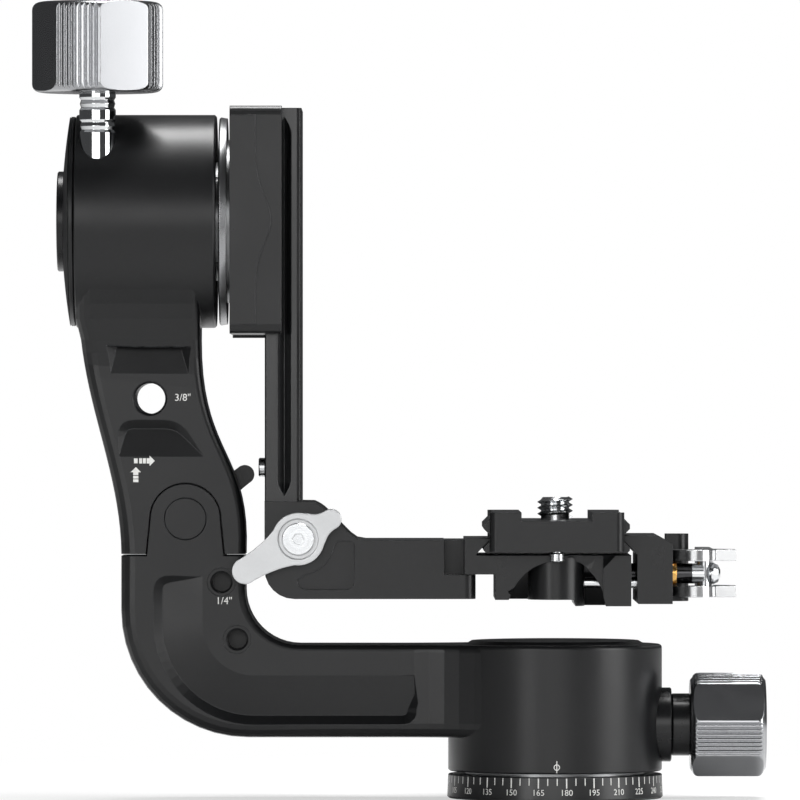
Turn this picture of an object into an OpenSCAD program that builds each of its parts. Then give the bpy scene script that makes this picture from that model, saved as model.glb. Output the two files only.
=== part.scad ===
// Gimbal tripod head, millimetres, +Z up, +X to the right of the front view.
// The origin is the centre of the foot's underside, on the pan axis.

/* [Foot and pan bearing] */
// Diameter of the scale ring at its foot
ring_d = 58.2; // [54:0.1:66]
// Height of the scale ring
ring_h = 6.5; // [5.2:0.1:9]
// Open gap between the scale ring and the turning housing
ring_gap = 0.85; // [0.4:0.05:1.6]
// Diameter of the neck that shows in the gap
neck_d = 48.4; // [46:0.1:50]
// Diameter of the spindle's column
column_d = 22; // [20:0.5:25]
// Diameter of the thrust bearing's balls
pan_ball_d = 3; // [2.5:0.1:3.6]
// Number of balls in the thrust bearing
pan_ball_n = 24; // [12:1:28]
// Core diameter of the 3/8 inch thread in the foot
socket_d = 7.94; // [6.5:0.02:9]
// Depth of the threaded socket in the foot
socket_depth = 13; // [9:0.5:16]

/* [Pan housing] */
// Diameter of the pan housing
housing_d = 57.7; // [52:0.1:64]
// Height of the housing's top face above the foot
housing_top = 41.5; // [39:0.1:50]
// Diameter of the cover disc on the housing
lid_d = 48.4; // [42:0.1:50]
// Height of the cover disc
lid_h = 0.95; // [0.6:0.05:2]
// Height of the lock knob's axis above the foot
pan_lock_z = 19.7; // [19.6:0.1:21]
// Diameter of the pan lock knob
pan_knob_d = 28; // [23:0.5:34]
// Length of the pan lock knob
pan_knob_l = 20.3; // [16:0.1:25]

/* [Lower arm] */
// Distance from the pan axis to the folding joint's pin
reach = 99.5; // [82:0.5:120]
// Thickness of both arms, front to back
arm_t = 27; // [25:0.5:30]
// Pin to the outer edge of the upright leg
leg_out = 17.3; // [16.5:0.1:20]
// Pin to the inner edge of the upright leg
leg_in = 16.1; // [15.5:0.1:19]
// Height of the arm's level run
run_h = 24.9; // [22:0.1:29]
// Outer radius of the arm's bend
bend_out = 34; // [30:0.5:38]
// Inner radius of the arm's bend
bend_in = 14.7; // [12:0.1:17]
// Rounding of the arms' outer edges
edge_out = 3.8; // [2:0.1:5]
// Rounding of the arms' inner edges
edge_in = 1.9; // [1:0.1:3]
// Radius of the blend from an arm's flat side to a round housing
blend_r = 37; // [30:1:44]
// Core diameter of the 1/4 inch threaded holes
small_thread_d = 5.1; // [4.5:0.05:6]
// Depth of the 1/4 inch threaded holes
small_thread_depth = 6.8; // [5:0.1:7]

/* [Folding joint] */
// Height of the folding joint's pin above the foot
fold_z = 75.4; // [72:0.1:90]
// Pin to the shoulder on which the upper arm stands
shoulder_drop = 10; // [9.5:0.1:12]
// Gap between the two arms at the shoulder
joint_gap = 0.5; // [0.3:0.05:0.9]
// Thickness of one fork cheek
cheek_t = 7.5; // [7:0.1:8.5]
// Radius of the cheek's round end
cheek_r = 9.3; // [8.8:0.1:9.8]
// How far the upper arm is pulled up before it is folded flat
lift = 13; // [11:0.1:14]
// Diameter of the folding joint's pin
fold_pin_d = 8; // [7:0.1:8.5]

/* [Upper arm] */
// Height of the tilt axis above the foot
tilt_z = 155.5; // [150:0.5:190]
// Diameter of the tilt housing
tilt_d = 57.5; // [54:0.1:62]
// Length of the tilt housing along its axis
tilt_l = 37.8; // [36:0.1:44]
// How far the tilt housing reaches past the fold pin towards the swing arm
tilt_over = 8.2; // [7:0.1:10]
// Diameter of the tilt shaft in its bearings
tilt_shaft_d = 20; // [18:0.5:22]
// Diameter of the brake drum on the tilt shaft
drum_d = 30; // [29:0.1:31]
// Distance of the tilt lock's screw in front of the tilt axis
tilt_lock_y = 18.7; // [18.2:0.1:19.2]
// Diameter of the tilt lock knob
tilt_knob_d = 35.1; // [29:0.1:42]
// Length of the tilt lock knob
tilt_knob_l = 24.3; // [19:0.1:29]
// Gap between the tilt housing and the knob above it
tilt_knob_gap = 5.4; // [4:0.1:8]

/* [Rail and its clamp] */
// Height of the rail clamp
clamp_h = 61; // [50:0.5:72]
// Thickness of the rail clamp along the tilt axis
clamp_t = 13.9; // [13:0.1:16]
// Gap between the tilt housing and the rail clamp
clamp_gap = 3.9; // [3.5:0.1:5]
// Width of the rail over its dovetail
rail_w = 38; // [36:0.1:40]
// Thickness of the rail
rail_t = 9.85; // [9:0.05:11]
// How far the stop pin lets the rail rise
rail_travel = 32.5; // [26:0.5:38]
// Diameter of the rail clamp's knob
rail_knob_d = 22; // [18:0.5:24]

/* [Cradle arm] */
// Gap between the plate clamp's foot and the cover disc below it
cradle_gap = 9.7; // [8:0.1:14]
// Height of the cradle arm
cradle_h = 15.7; // [15:0.1:19]
// Width of the cradle arm, front to back
cradle_w = 46.8; // [46:0.1:50]
// Diameter of the cradle joint's bolt
cradle_bolt_d = 8; // [6.5:0.1:9]

/* [Plate clamp] */
// Length of the clamp's jaws, front to back
jaw_l = 50; // [46:0.5:54]
// Width of the plate's dovetail
plate_w = 39; // [37:0.1:40]
// Length of the plate
plate_l = 68; // [64:0.5:76]
// How far the plate slides each way before a stop pin meets the clamp
plate_travel = 3; // [2:0.1:4]
// Diameter of the 3/8 inch camera screw
camera_screw_d = 9.525; // [6.35:0.005:10]
// How far the cam's middle lies off its pivot
cam_throw = 2.7; // [2.2:0.05:2.9]
// Radius of the cam discs
cam_r = 6.1; // [5.6:0.05:6.4]

/* [Clearances] */
// Radial running clearance of shafts and screws in their holes
run_fit = 0.05; // [0.02:0.01:0.09]
// Gap between faces that slide past each other
slide_gap = 0.1; // [0.08:0.01:0.2]
// Gap round the fork cheeks in their recesses
seat_gap = 0.4; // [0.35:0.05:0.6]
// Radial clearance of pieces that sit still in each other
press_fit = 0.02; // [0.01:0.01:0.04]

/* [Hidden] */
$fn = 64;

// Cut depth past a face, so that no cut ends flush with it
past = 1;

// Foot: levels from the tripod upwards
plate_t = 5;
flange_t = 4;
flange_top = plate_t + flange_t;
race_h = 1.5;
race_in = 15;
race_out = 22;
ball_circle = (race_in + race_out) / 2;
housing_bottom = ring_h + ring_gap;
race_roof = flange_top + 2 * race_h + pan_ball_d;
column_r = column_d / 2;
column_top = housing_top - 6.5;
nut_pocket_r = 19.5;
stub_r = 8;
insert_r = socket_d / 2 + 3;
screw_circle = 16.5;
screw_head_r = 3.6;
screw_r = 2;
bush_wall = 2;
bush_h = 10;

// Pan lock, along +X
shoe_r = 4.6;
shoe_l = 4.3;
collar_r = 10;
collar_seat_x = housing_d / 2 - 4.9;
collar_end_x = housing_d / 2 + 2.5;
hub_r = 8.4;
hub_l = 5;
stud_r = 4;
pan_knob_x = collar_end_x + slide_gap + hub_l;

// Arms
half_t = arm_t / 2;
pin_x = -reach;
leg_left = pin_x - leg_out;
leg_right = pin_x + leg_in;
shoulder_z = fold_z - shoulder_drop;
run_top = housing_top;
run_bottom = housing_top - run_h;
bend_out_c = [leg_left + bend_out, run_bottom + bend_out];
bend_in_c = [leg_right + bend_in, run_top + bend_in];
housing_blend_x = -housing_d / 2 * 0.64;
core_t = arm_t - 2 * cheek_t;
cheek_flare = 0.1;
tenon_half = shoulder_drop + 0.8;
tenon_flare = 0.3;
block_half_x = 4.5;
block_half_z = 5;
tenon_drop = lift + block_half_z + 4.2;
fork_floor = tenon_drop + 0.6;
fold_pin_r = fold_pin_d / 2;
cap_r = 5.65;
cap_h = 1.6;
upper_bottom = shoulder_z + joint_gap;
lever_t = 6.5;

// Tilt housing and what turns in it
tilt_r = tilt_d / 2;
tilt_right = pin_x + tilt_over;
tilt_left = tilt_right - tilt_l;
arm_top_z = tilt_z - 32;
arm_top_left = tilt_left + 1.5;
arm_top_right = tilt_right - 4.3;
tilt_blend_z = tilt_z - tilt_r * 0.64;
bearing_w = 8;
bearing_out = 19;
bearing_in = tilt_shaft_d / 2;
bearing_right_x = tilt_right - 1.8 - bearing_w;
bearing_left_x = bearing_right_x - bearing_w - 5;
tilt_ball_d = 3.8;
tilt_ball_n = 12;
tilt_circle = (bearing_in + bearing_out) / 2;
drum_r = drum_d / 2;
cotter_r = 5.3;
cotter_x = tilt_left + 6.2;
cotter_h = 11;
cotter_gap = 3;
lock_shaft_r = 4.9;
tilt_knob_z = tilt_z + tilt_r + tilt_knob_gap;
cap_rim = 1.6;
cap_dome = 2.4;
disc_r = 13.5;
disc_t = 1.1;
cap_spigot_r = tilt_r - 3;

// Swing arm
clamp_left = tilt_right + clamp_gap;
clamp_right = clamp_left + clamp_t;
lip_reach = 4.6;
rail_left = clamp_right - lip_reach;
rail_right = rail_left + rail_t;
rail_half = rail_w / 2;
rail_top = tilt_z + clamp_h / 2 - 0.4;
clamp_half_y = rail_half + 8;
jaw_y = rail_half + slide_gap;
clamp_edge = 2.5;
clamp_screw_r = 2;
clamp_screw_l = 4.8;
clamp_screw_x = clamp_left + 4.9;
flange_ring_r = tilt_r - 0.65;
flange_ring_x = tilt_right + 0.8;
flange_ring_t = 2.15;
groove_depth = 1.9;
groove_mid = 5.2;
groove_cutter_r = 6.8;

// Cradle
base_top = housing_top + lid_h;
foot_z = base_top + cradle_gap;
cradle_bottom = foot_z + 1.9;
cradle_top = cradle_bottom + cradle_h;
pivot_x = rail_right - 0.8;
pivot_z = cradle_top + 0.4;
eye_r = 9;
cradle_half = cradle_w / 2;
cheek_top = pivot_z + 10.1;
stop_pin_z = tilt_z - clamp_h / 2 - 0.8 - rail_travel;
bolt_r = cradle_bolt_d / 2;
silver_t = 5;

// Plate clamp: places along X are measured from the pan axis
clamp_floor = cradle_bottom + 11.7;
// Each jaw's sloped face: height over the floor plus distance inward past the
// plate's half width add up to this
grip_face = 2.35;
jaw_top = clamp_floor + 5.3;
body_left = -24.6;
step_left = -16.4;
body_right = plate_w / 2 + 0.5;
jaw_left = body_right + 1.6;
jaw_right = jaw_left + 9.45;
jaw_half = jaw_l / 2;
plate_half = plate_w / 2;
plate_bottom = clamp_floor + 0.75;
plate_top = plate_bottom + 10.8;
cam_pivot_x = jaw_right + slide_gap + 0.25 + cam_r + cam_throw;
cam_z = cradle_bottom + 6.45;
cam_gap = 6.8;
cam_t = 3;
rod_r = 2.75;
rod_fit_r = rod_r + run_fit;
bush_r = rod_r + 0.5;
guide_y = 16;
guide_z = cradle_bottom + 4.3;
guide_r = 1.5;
stop_r = 2;
stop_y = jaw_half + plate_travel + stop_r;

// ---- Shared outlines and solids ----

// Points along a Bezier curve with four control points
function bezier(p, t) = pow(1 - t, 3) * p[0] + 3 * pow(1 - t, 2) * t * p[1]
                      + 3 * (1 - t) * t * t * p[2] + pow(t, 3) * p[3];
// Points of an arc from one angle to another, both ends included
function arc(c, r, a0, a1, n) = [for (i = [0:n]) let (a = a0 + (a1 - a0) * i / n)
                                 c + r * [cos(a), sin(a)]];
// A corner at p between a and b, rounded over the distance d
function corner(a, p, b, d) = let (s = p + (a - p) / norm(a - p) * d, e = p + (b - p) / norm(b - p) * d)
    [for (k = [0:5]) bezier([s, (s + 2 * p) / 3, (e + 2 * p) / 3, e], k / 5)];
// An outline with each corner rounded over the distance d
function softened(p, d) = let (n = len(p))
    [for (i = [0:n - 1]) each corner(p[(i + n - 1) % n], p[i], p[(i + 1) % n], d)];
// An anticlockwise outline moved inwards by w
function inset(p, w) = let (n = len(p)) [for (i = [0:n - 1])
    let (a = p[(i + 1) % n] - p[(i + n - 1) % n]) p[i] + w / norm(a) * [-a.y, a.x]];
// A point turned about the origin
function turned(p, a) = [p.x * cos(a) - p.y * sin(a), p.x * sin(a) + p.y * cos(a)];

// An X-Z outline given thickness from y0 to y1
module along_y(y0, y1) {
    translate([0, y1, 0]) rotate([90, 0, 0]) linear_extrude(y1 - y0) children();
}

// A Y-Z outline given thickness from x0 to x1
module along_x(x0, x1) {
    translate([x0, 0, 0]) rotate([90, 0, 90]) linear_extrude(x1 - x0) children();
}

// Round solids on the X, Y and Z axes from a profile of [radius, height] points
module turn_x(y, z, profile) {
    translate([0, y, z]) rotate([0, 90, 0]) rotate_extrude() polygon(profile);
}
module turn_y(x, z, profile) {
    translate([x, 0, z]) rotate([-90, 0, 0]) rotate_extrude() polygon(profile);
}
module turn_z(x, y, profile) {
    translate([x, y, 0]) rotate_extrude() polygon(profile);
}

// Profile of a plain ring or disc with a small bevel on its edges
function ring_profile(r0, r1, h0, h1, b) = [[r0, h0], [r1 - b, h0], [r1, h0 + b],
    [r1, h1 - b], [r1 - b, h1], [r0, h1]];

// Plain rods along X, Y and Z
module rod_x(x0, x1, y, z, r) {
    translate([x0, y, z]) rotate([0, 90, 0]) cylinder(r = r, h = x1 - x0);
}
module rod_y(y0, y1, x, z, r) {
    translate([x, y0, z]) rotate([-90, 0, 0]) cylinder(r = r, h = y1 - y0);
}
module rod_z(z0, z1, x, y, r) {
    translate([x, y, z0]) cylinder(r = r, h = z1 - z0);
}

// A block from one corner to the opposite one
module block(low, high) {
    translate(low) cube(high - low);
}

// One rounded-rectangle section of an arm between its outer and inner edge
// points, with its own half thickness: a closed ring of corners.
corner_steps = 4;
function section(outer, inner, t) =
    let (u = (inner - outer) / norm(inner - outer))
    [for (q = [0:3], k = [0:corner_steps])
        let (a = 90 * k / corner_steps,
             r = (q == 0 || q == 3) ? edge_out : edge_in,
             across = q == 0 ? -cos(a) : q == 1 ? sin(a) : q == 2 ? cos(a) : -sin(a),
             deep = q == 0 ? -sin(a) : q == 1 ? -cos(a) : q == 2 ? sin(a) : cos(a),
             c = (q == 0 || q == 3) ? outer + u * r : inner - u * r,
             side = (q < 2) ? -(t - r) : t - r,
             p = c + u * r * across)
        [p.x, side + r * deep, p.y]];

// Solid through a row of such sections
module loft(rings) {
    n = len(rings[0]);
    m = len(rings);
    points = [for (s = rings, p = s) p];
    sides = [for (i = [0:m - 2], j = [0:n - 1])
        let (a = i * n + j, b = i * n + (j + 1) % n) each [[a, b, b + n], [a, b + n, a + n]]];
    first = [for (j = [0:n - 1]) n - 1 - j];
    last = [for (j = [0:n - 1]) (m - 1) * n + j];
    polyhedron(points, concat(sides, [first, last]));
}

// Half thickness of an arm where it blends into a round housing
function blended(half, start, at) = at <= start ? half
    : half + blend_r - sqrt(blend_r * blend_r - pow(min(at - start, blend_r * 0.64), 2));

// A finger knob's outline: four smooth flats with fluted corners between them
flute_n = 8;
function knob_outline(r) = [for (q = [0:3])
    let (a0 = 90 * q + 25, step = 40 / flute_n)
    each concat([for (i = [0:flute_n - 1]) each [
            r * [cos(a0 + i * step), sin(a0 + i * step)],
            (r * 0.955) * [cos(a0 + (i + 0.5) * step), sin(a0 + (i + 0.5) * step)]]],
        [r * [cos(a0 + 40), sin(a0 + 40)]])];

// Barrel of the knob with rounded and bevelled ends
function knob_barrel(r, h) = concat([[0, 0], [r * 0.86, 0]],
    arc([r * 0.88, 2.2], r * 0.12, -75, 0, 4), arc([r * 0.88, h - 2.2], r * 0.12, 0, 75, 4),
    [[r * 0.86, h], [0, h]]);

module knob(d, h, bore_r) {
    difference() {
        intersection() {
            linear_extrude(h) polygon(knob_outline(d / 2 + 0.15));
            rotate_extrude() polygon(knob_barrel(d / 2, h));
        }
        rod_z(-past, h - 3, 0, 0, bore_r + press_fit);
    }
}

// Flat lever plate: round hub, waisted arms and round tips. Each arm is
// [angle, length, tip radius], and its flanks are Bezier curves.
module lever_plate(y0, y1, x, z, hub, arms) {
    rod_y(y0, y1, x, z, hub);
    for (arm = arms) {
        tip = turned([arm[1], 0], arm[0]);
        flank = [for (i = [0:8]) bezier([[hub * 0.42, hub * 0.87], [hub * 0.97, hub * 0.63],
            [arm[1] * 0.62, arm[2]], [arm[1] + 0.1, arm[2] * 0.98]], i / 8)];
        mirrored = [for (i = [8:-1:0]) [flank[i].x, -flank[i].y]];
        rod_y(y0, y1, x + tip.x, z + tip.y, arm[2]);
        along_y(y0, y1) polygon([for (p = concat(flank, mirrored)) [x, z] + turned(p, arm[0])]);
    }
}

// ---- Foot and pan bearing ----

module scale_ring() color("#26282b") {
    top_r = ring_d / 2 - 0.25;
    turn_z(0, 0, [[neck_d / 2 + run_fit, 0], [ring_d / 2 - 0.5, 0], [ring_d / 2, 0.5],
                  [top_r, ring_h - 0.2], [top_r - 0.2, ring_h], [neck_d / 2 + run_fit, ring_h]]);
}

module screw_places() {
    for (a = [90, 210, 330]) rotate(a) translate([screw_circle, 0, 0]) children();
}

module base_plate() color("#1f2124") difference() {
    turn_z(0, 0, [[insert_r + 3, 0], [neck_d / 2, 0], [neck_d / 2, plate_t], [insert_r + 3, plate_t]]);
    screw_places() {
        rod_z(-past, plate_t + past, 0, 0, screw_r + run_fit);
        translate([0, 0, 0.25]) cylinder(r1 = screw_head_r, r2 = screw_r, h = 2.1);
        rod_z(-past, 0.3, 0, 0, screw_head_r);
    }
}

module base_screws() color("#2b2b2d") screw_places() difference() {
    union() {
        translate([0, 0, 0.3]) cylinder(r1 = screw_head_r - 0.1, r2 = screw_r - 0.1, h = 2);
        rod_z(2, plate_t + 3, 0, 0, screw_r - 0.1);
    }
    translate([0, 0, -past]) cylinder(r = 1.3, h = past + 1.5, $fn = 6);
}

module tripod_socket() color("#b9bcc0") difference() {
    turn_z(0, 0, ring_profile(0, insert_r, 0, socket_depth, 0.3));
    rod_z(-past, socket_depth + past, 0, 0, socket_d / 2);
}

module pan_spindle() color("#8e9196") difference() {
    turn_z(0, 0, [[0, 0.2], [insert_r + 3 - run_fit, 0.2], [insert_r + 3 - run_fit, plate_t],
        [neck_d / 2, plate_t], [neck_d / 2, flange_top - 0.4], [neck_d / 2 - 0.4, flange_top],
        [column_r, flange_top], [column_r, column_top], [stub_r, column_top],
        [stub_r, housing_top - 2.5], [0, housing_top - 2.5]]);
    rod_z(-past, socket_depth, 0, 0, insert_r + press_fit);
    screw_places() rod_z(plate_t - past, plate_t + 3.2, 0, 0, screw_r - 0.1);
}

module pan_race(z0, groove_up) difference() {
    turn_z(0, 0, ring_profile(race_in, race_out, z0, z0 + race_h, 0.15));
    translate([0, 0, groove_up ? z0 + race_h + pan_ball_d / 2 - 0.2 : z0 - pan_ball_d / 2 + 0.2])
        rotate_extrude() translate([ball_circle, 0]) circle(pan_ball_d / 2 + run_fit);
}

module pan_race_lower() color("#c9ccd0") pan_race(flange_top, true);

module pan_race_upper() color("#c9ccd0") pan_race(race_roof - race_h, false);

module pan_cage() color("#b58a3c") difference() {
    mid = flange_top + race_h + pan_ball_d / 2;
    turn_z(0, 0, [[race_in + 1.6, mid - 0.5], [race_out - 1.6, mid - 0.5],
                  [race_out - 1.6, mid + 0.5], [race_in + 1.6, mid + 0.5]]);
    for (i = [0:pan_ball_n - 1]) rotate(360 * i / pan_ball_n)
        rod_z(0, race_roof, ball_circle, 0, pan_ball_d / 2 + 0.1);
}

module pan_balls() color("#dfe2e6")
    for (i = [0:pan_ball_n - 1]) rotate(360 * i / pan_ball_n)
        translate([ball_circle, 0, flange_top + race_h + pan_ball_d / 2]) sphere(pan_ball_d / 2);

module spindle_nut() color("#7d8085") difference() {
    turn_z(0, 0, ring_profile(stub_r, nut_pocket_r - 2, column_top + 1, column_top + 4, 0.3));
    for (a = [0:90:270]) rotate(a) block([nut_pocket_r - 5, -1.5, 0], [nut_pocket_r, 1.5, housing_top]);
}

// ---- Pan housing, lower arm and fork ----

// Sections of the lower arm from its shoulder down the leg, round the bend
// and along the run into the housing
function lower_sections() = concat(
    [for (z = [shoulder_z, shoulder_z - 1.5])
        section([leg_left, z], [leg_right, z], half_t)],
    [for (a = [180:7.5:270])
        section(bend_out_c + bend_out * [cos(a), sin(a)],
                bend_in_c + bend_in * [cos(a), sin(a)], half_t)],
    [for (x = [-61, -50, -42, -38, -34, -30, -26, -22, -18, -15])
        section([x, run_bottom], [x, run_top],
                blended(half_t, housing_blend_x - blend_r * 0.64, x))]);

// Fork cheek: round end over the pin and legs that flare down to the shoulder
module cheek_outline(grow) {
    translate([pin_x, fold_z]) {
        circle(cheek_r + grow);
        foot = cheek_r + grow + cheek_flare * (shoulder_drop + 1);
        polygon([[-(cheek_r + grow), 0], [-foot, -shoulder_drop - 1],
                 [foot, -shoulder_drop - 1], [cheek_r + grow, 0]]);
    }
}

// Tapered tongue between the cheeks, measured down from the pin
module tenon_outline(grow, drop) {
    half = tenon_half + grow;
    tip = half - tenon_flare * (drop - shoulder_drop);
    translate([pin_x, fold_z])
        polygon([[-half, 4], [-half, -shoulder_drop], [-tip, -drop], [tip, -drop],
                 [half, -shoulder_drop], [half, 4]]);
}

// Tool for a pocket in the arm's front face with a sloping wall all round. The
// outline runs anticlockwise as seen from the front.
recess_wall = 2.4;
recess_deep = 2.2;
module pocket(outline) loft([for (deep = [-past, recess_deep + 0.3])
    [for (q = inset(outline, deep * recess_wall / recess_deep)) [q.x, -half_t + deep, q.y]]]);

// Long recess in the arm's side, deepest along its outer wall and running
// out to nothing towards the inner edge
recess_w = 13.2;
recess_r = 27;
recess_out = 8.7;
recess_low = 3.5;
recess_c = [leg_left + recess_out + recess_r, run_bottom + recess_low + recess_r];
recess_top_z = shoulder_z - 5.2;
recess_end_x = -housing_d / 2 - 8.6;
recess_fall = recess_deep / (recess_w - recess_wall);
recess_floor = [[-recess_r - past, past], [-recess_r - past, -recess_fall * (recess_w + past)],
                [-recess_r + recess_w, 0], [-recess_r + recess_w, past]];

module lower_recess() intersection() {
    left = recess_c.x - recess_r;
    low = recess_c.y - recess_r;
    pocket(concat(
        corner([left + recess_w, recess_top_z], [left, recess_top_z], [left, recess_c.y], 4.5),
        arc(recess_c, recess_r, 180, 270, 16),
        corner([recess_c.x, low], [recess_end_x, low], [recess_end_x - 0.8, low + recess_w], 4.5),
        [[recess_end_x - 0.8, low + recess_w + past]],
        arc(recess_c, recess_r - recess_w - past, 270, 180, 12),
        [[left + recess_w + past, recess_top_z]]));
    translate([recess_c.x, -half_t, recess_c.y]) {
        rotate([90, 0, 0]) rotate([0, 0, 180]) rotate_extrude(angle = 90)
            polygon([for (p = recess_floor) [-p.x, p.y]]);
        linear_extrude(recess_top_z - recess_c.y + past)
            polygon([for (p = recess_floor) [p.x, -p.y]]);
        rotate([0, 90, 0]) linear_extrude(recess_end_x - recess_c.x + past)
            polygon([for (p = recess_floor) [-p.x, -p.y]]);
    }
}

module mirrored_y() {
    children();
    mirror([0, 1, 0]) children();
}

module lower_arm() color("#242629") difference() {
    union() {
        loft(lower_sections());
        turn_z(0, 0, concat([[0, housing_bottom], [housing_d / 2 - 0.4, housing_bottom],
            [housing_d / 2, housing_bottom + 0.4]],
            arc([housing_d / 2 - 1, housing_top - 1], 1, 0, 90, 5), [[0, housing_top]]));
        mirrored_y() along_y(-half_t, -core_t / 2) cheek_outline(0);
    }
    // Bearing seats, from the foot to the nut under the cover
    rod_z(0, flange_top + 0.5, 0, 0, neck_d / 2 + 0.2);
    rod_z(0, race_roof, 0, 0, race_out + 0.3);
    rod_z(0, housing_top, 0, 0, column_r + 0.5);
    rod_z(column_top - bush_h, column_top, 0, 0, column_r + bush_wall);
    rod_z(column_top, housing_top + past, 0, 0, nut_pocket_r);
    // Brake shoe and collar
    rod_x(0, housing_d / 2 + past, 0, pan_lock_z, shoe_r + run_fit);
    rod_x(collar_seat_x, housing_d / 2 + 2, 0, pan_lock_z, collar_r + run_fit);
    // Folding joint
    along_y(-core_t / 2 - slide_gap, core_t / 2 + slide_gap) tenon_outline(0.4, fork_floor);
    rod_y(-half_t - past, half_t + past, pin_x, fold_z, fold_pin_r + run_fit);
    rod_y(-half_t - past, -half_t + cap_h, pin_x, fold_z, cap_r + run_fit);
    // Seats of the threaded inserts
    along_y(-half_t - past, -half_t + small_thread_depth + seat_gap)
        for (p = small_holes) translate(p) circle(thread_insert_r, $fn = insert_sides);
    mirrored_y() lower_recess();
}
small_holes = [[pin_x + 9.7, shoulder_z - 7], [pin_x + 13.9, run_top + 1.5]];

// Steel inserts pressed into the arm, many-sided so that they can't turn
thread_insert_r = small_thread_d / 2 + 1.3;
insert_sides = 12;
module arm_thread_inserts() color("#2b2b2d") for (p = small_holes) difference() {
    along_y(-half_t, -half_t + small_thread_depth)
        translate(p) circle(thread_insert_r - press_fit, $fn = insert_sides);
    rod_y(-half_t - past, -half_t + small_thread_depth + past, p.x, p.y, small_thread_d / 2);
    turn_y(p.x, p.y, [[0, -half_t - 0.01], [small_thread_d / 2 + 0.5, -half_t - 0.01],
                      [0, -half_t + small_thread_d / 2 + 0.49]]);
}

// Flanged bush: its tube runs on the column and its flange under the nut
module pan_bush() color("#b58a3c")
    turn_z(0, 0, [[column_r + run_fit, column_top - bush_h],
        [column_r + bush_wall - 0.2, column_top - bush_h],
        [column_r + bush_wall, column_top - bush_h + 0.2], [column_r + bush_wall, column_top],
        [nut_pocket_r - 2, column_top], [nut_pocket_r - 2, column_top + 0.95],
        [column_r + run_fit, column_top + 0.95]]);

module pan_lid() color("#1c1e21") union() {
    turn_z(0, 0, [[0, housing_top], [lid_d / 2, housing_top], [lid_d / 2 - 1.6, base_top],
                  [0, base_top]]);
    turn_z(0, 0, [[nut_pocket_r - 1.6, housing_top - 1.8], [nut_pocket_r - 0.05, housing_top - 1.8],
                  [nut_pocket_r - 0.05, housing_top], [nut_pocket_r - 1.6, housing_top]]);
}

module pan_collar() color("#1f2124") difference() {
    turn_x(0, pan_lock_z, ring_profile(0, collar_r, collar_seat_x, collar_end_x, 0.3));
    rod_x(0, collar_end_x + past, 0, pan_lock_z, stud_r + run_fit);
}

module pan_brake_shoe() color("#c9a45a") difference() {
    rod_x(column_r - 1, column_r + shoe_l, 0, pan_lock_z, shoe_r);
    rod_z(0, housing_top, 0, 0, column_r + run_fit);
}

module pan_knob_stud() color("#b9bcc0")
    turn_x(0, pan_lock_z, [[0, column_r + shoe_l + 0.1], [stud_r - 0.8, column_r + shoe_l + 0.1],
        [stud_r, column_r + shoe_l + 0.9], [stud_r, pan_knob_x + pan_knob_l - 4],
        [0, pan_knob_x + pan_knob_l - 4]]);

module pan_knob_hub() color("#1c1e21")
    turn_x(0, pan_lock_z, ring_profile(stud_r, hub_r, collar_end_x + slide_gap, pan_knob_x, 0.3));

module pan_knob() color("#7d8186")
    translate([pan_knob_x, 0, pan_lock_z]) rotate([0, 90, 0]) rotate(-30)
        knob(pan_knob_d, pan_knob_l, stud_r);

module fold_pin() color("#b9bcc0")
    rod_y(-half_t + cap_h, half_t + 0.8, pin_x, fold_z, fold_pin_r);

module fold_pin_cap() color("#26282b")
    turn_y(pin_x, fold_z, ring_profile(0, cap_r, -half_t + 0.05, -half_t + cap_h, 0.2));

// Lock lever behind the joint, its tip just in view past the arm's edge
module fold_lever() color("#1c1e21") difference() {
    lever_plate(half_t + 1, half_t + 1 + lever_t, pin_x, fold_z, 7, [[37, 19.3, 2.6]]);
    rod_y(half_t, half_t + lever_t + 2, pin_x, fold_z, 3 + run_fit);
    rod_y(half_t + lever_t - 1.5, half_t + lever_t + 2, pin_x, fold_z, 5);
}

module fold_lever_screw() color("#8e9196") difference() {
    union() {
        rod_y(half_t + 0.8, half_t + lever_t - 1.5, pin_x, fold_z, 3);
        turn_y(pin_x, fold_z, ring_profile(0, 4.8, half_t + lever_t - 1.5, half_t + lever_t + 0.6, 0.3));
    }
    along_y(half_t + lever_t - 0.9, half_t + lever_t + 1) translate([pin_x, fold_z]) circle(2, $fn = 6);
}

module fold_block() color("#c9a45a") difference() {
    block([pin_x - block_half_x, -core_t / 2 + slide_gap, fold_z - block_half_z],
          [pin_x + block_half_x, core_t / 2 - slide_gap, fold_z + block_half_z]);
    rod_y(-core_t, core_t, pin_x, fold_z, fold_pin_r + run_fit);
}

// ---- Upper arm and tilt bearing ----

arm_rise = arm_top_z - upper_bottom;
outer_edge = [[arm_top_left, arm_top_z], [arm_top_left + 2, arm_top_z - 0.346 * arm_rise],
              [leg_left - 0.2, upper_bottom + 0.353 * arm_rise], [leg_left, upper_bottom]];
inner_edge = [[arm_top_right, arm_top_z], [arm_top_right, arm_top_z - 0.555 * arm_rise],
              [leg_right + 1.1, upper_bottom + 0.49 * arm_rise], [leg_right, upper_bottom]];

function upper_sections() =
    let (start = tilt_blend_z - blend_r * 0.64)
    concat([for (z = [tilt_z - 15, tilt_blend_z, tilt_blend_z - 4, tilt_blend_z - 8])
            section([arm_top_left - 1.3, z], [arm_top_right, z], blended(half_t, start, z))],
        [for (i = [0:18]) let (o = bezier(outer_edge, i / 18), n = bezier(inner_edge, i / 18))
            section(o, n, blended(half_t, start, (o.y + n.y) / 2))]);

// Wedge-shaped recess in the arm's side, deep at its top and running out below
module upper_recess(outline, z_top, z_low) intersection() {
    pocket(softened(outline, recess_corner));
    along_x(tilt_left - 10, tilt_right + 10) polygon([[-half_t - 12, z_top + past],
        [-half_t + recess_deep, z_top + past], [-half_t + recess_deep, z_top - recess_wall],
        [-half_t, z_low], [-half_t - 12, z_low]]);
}

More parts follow.
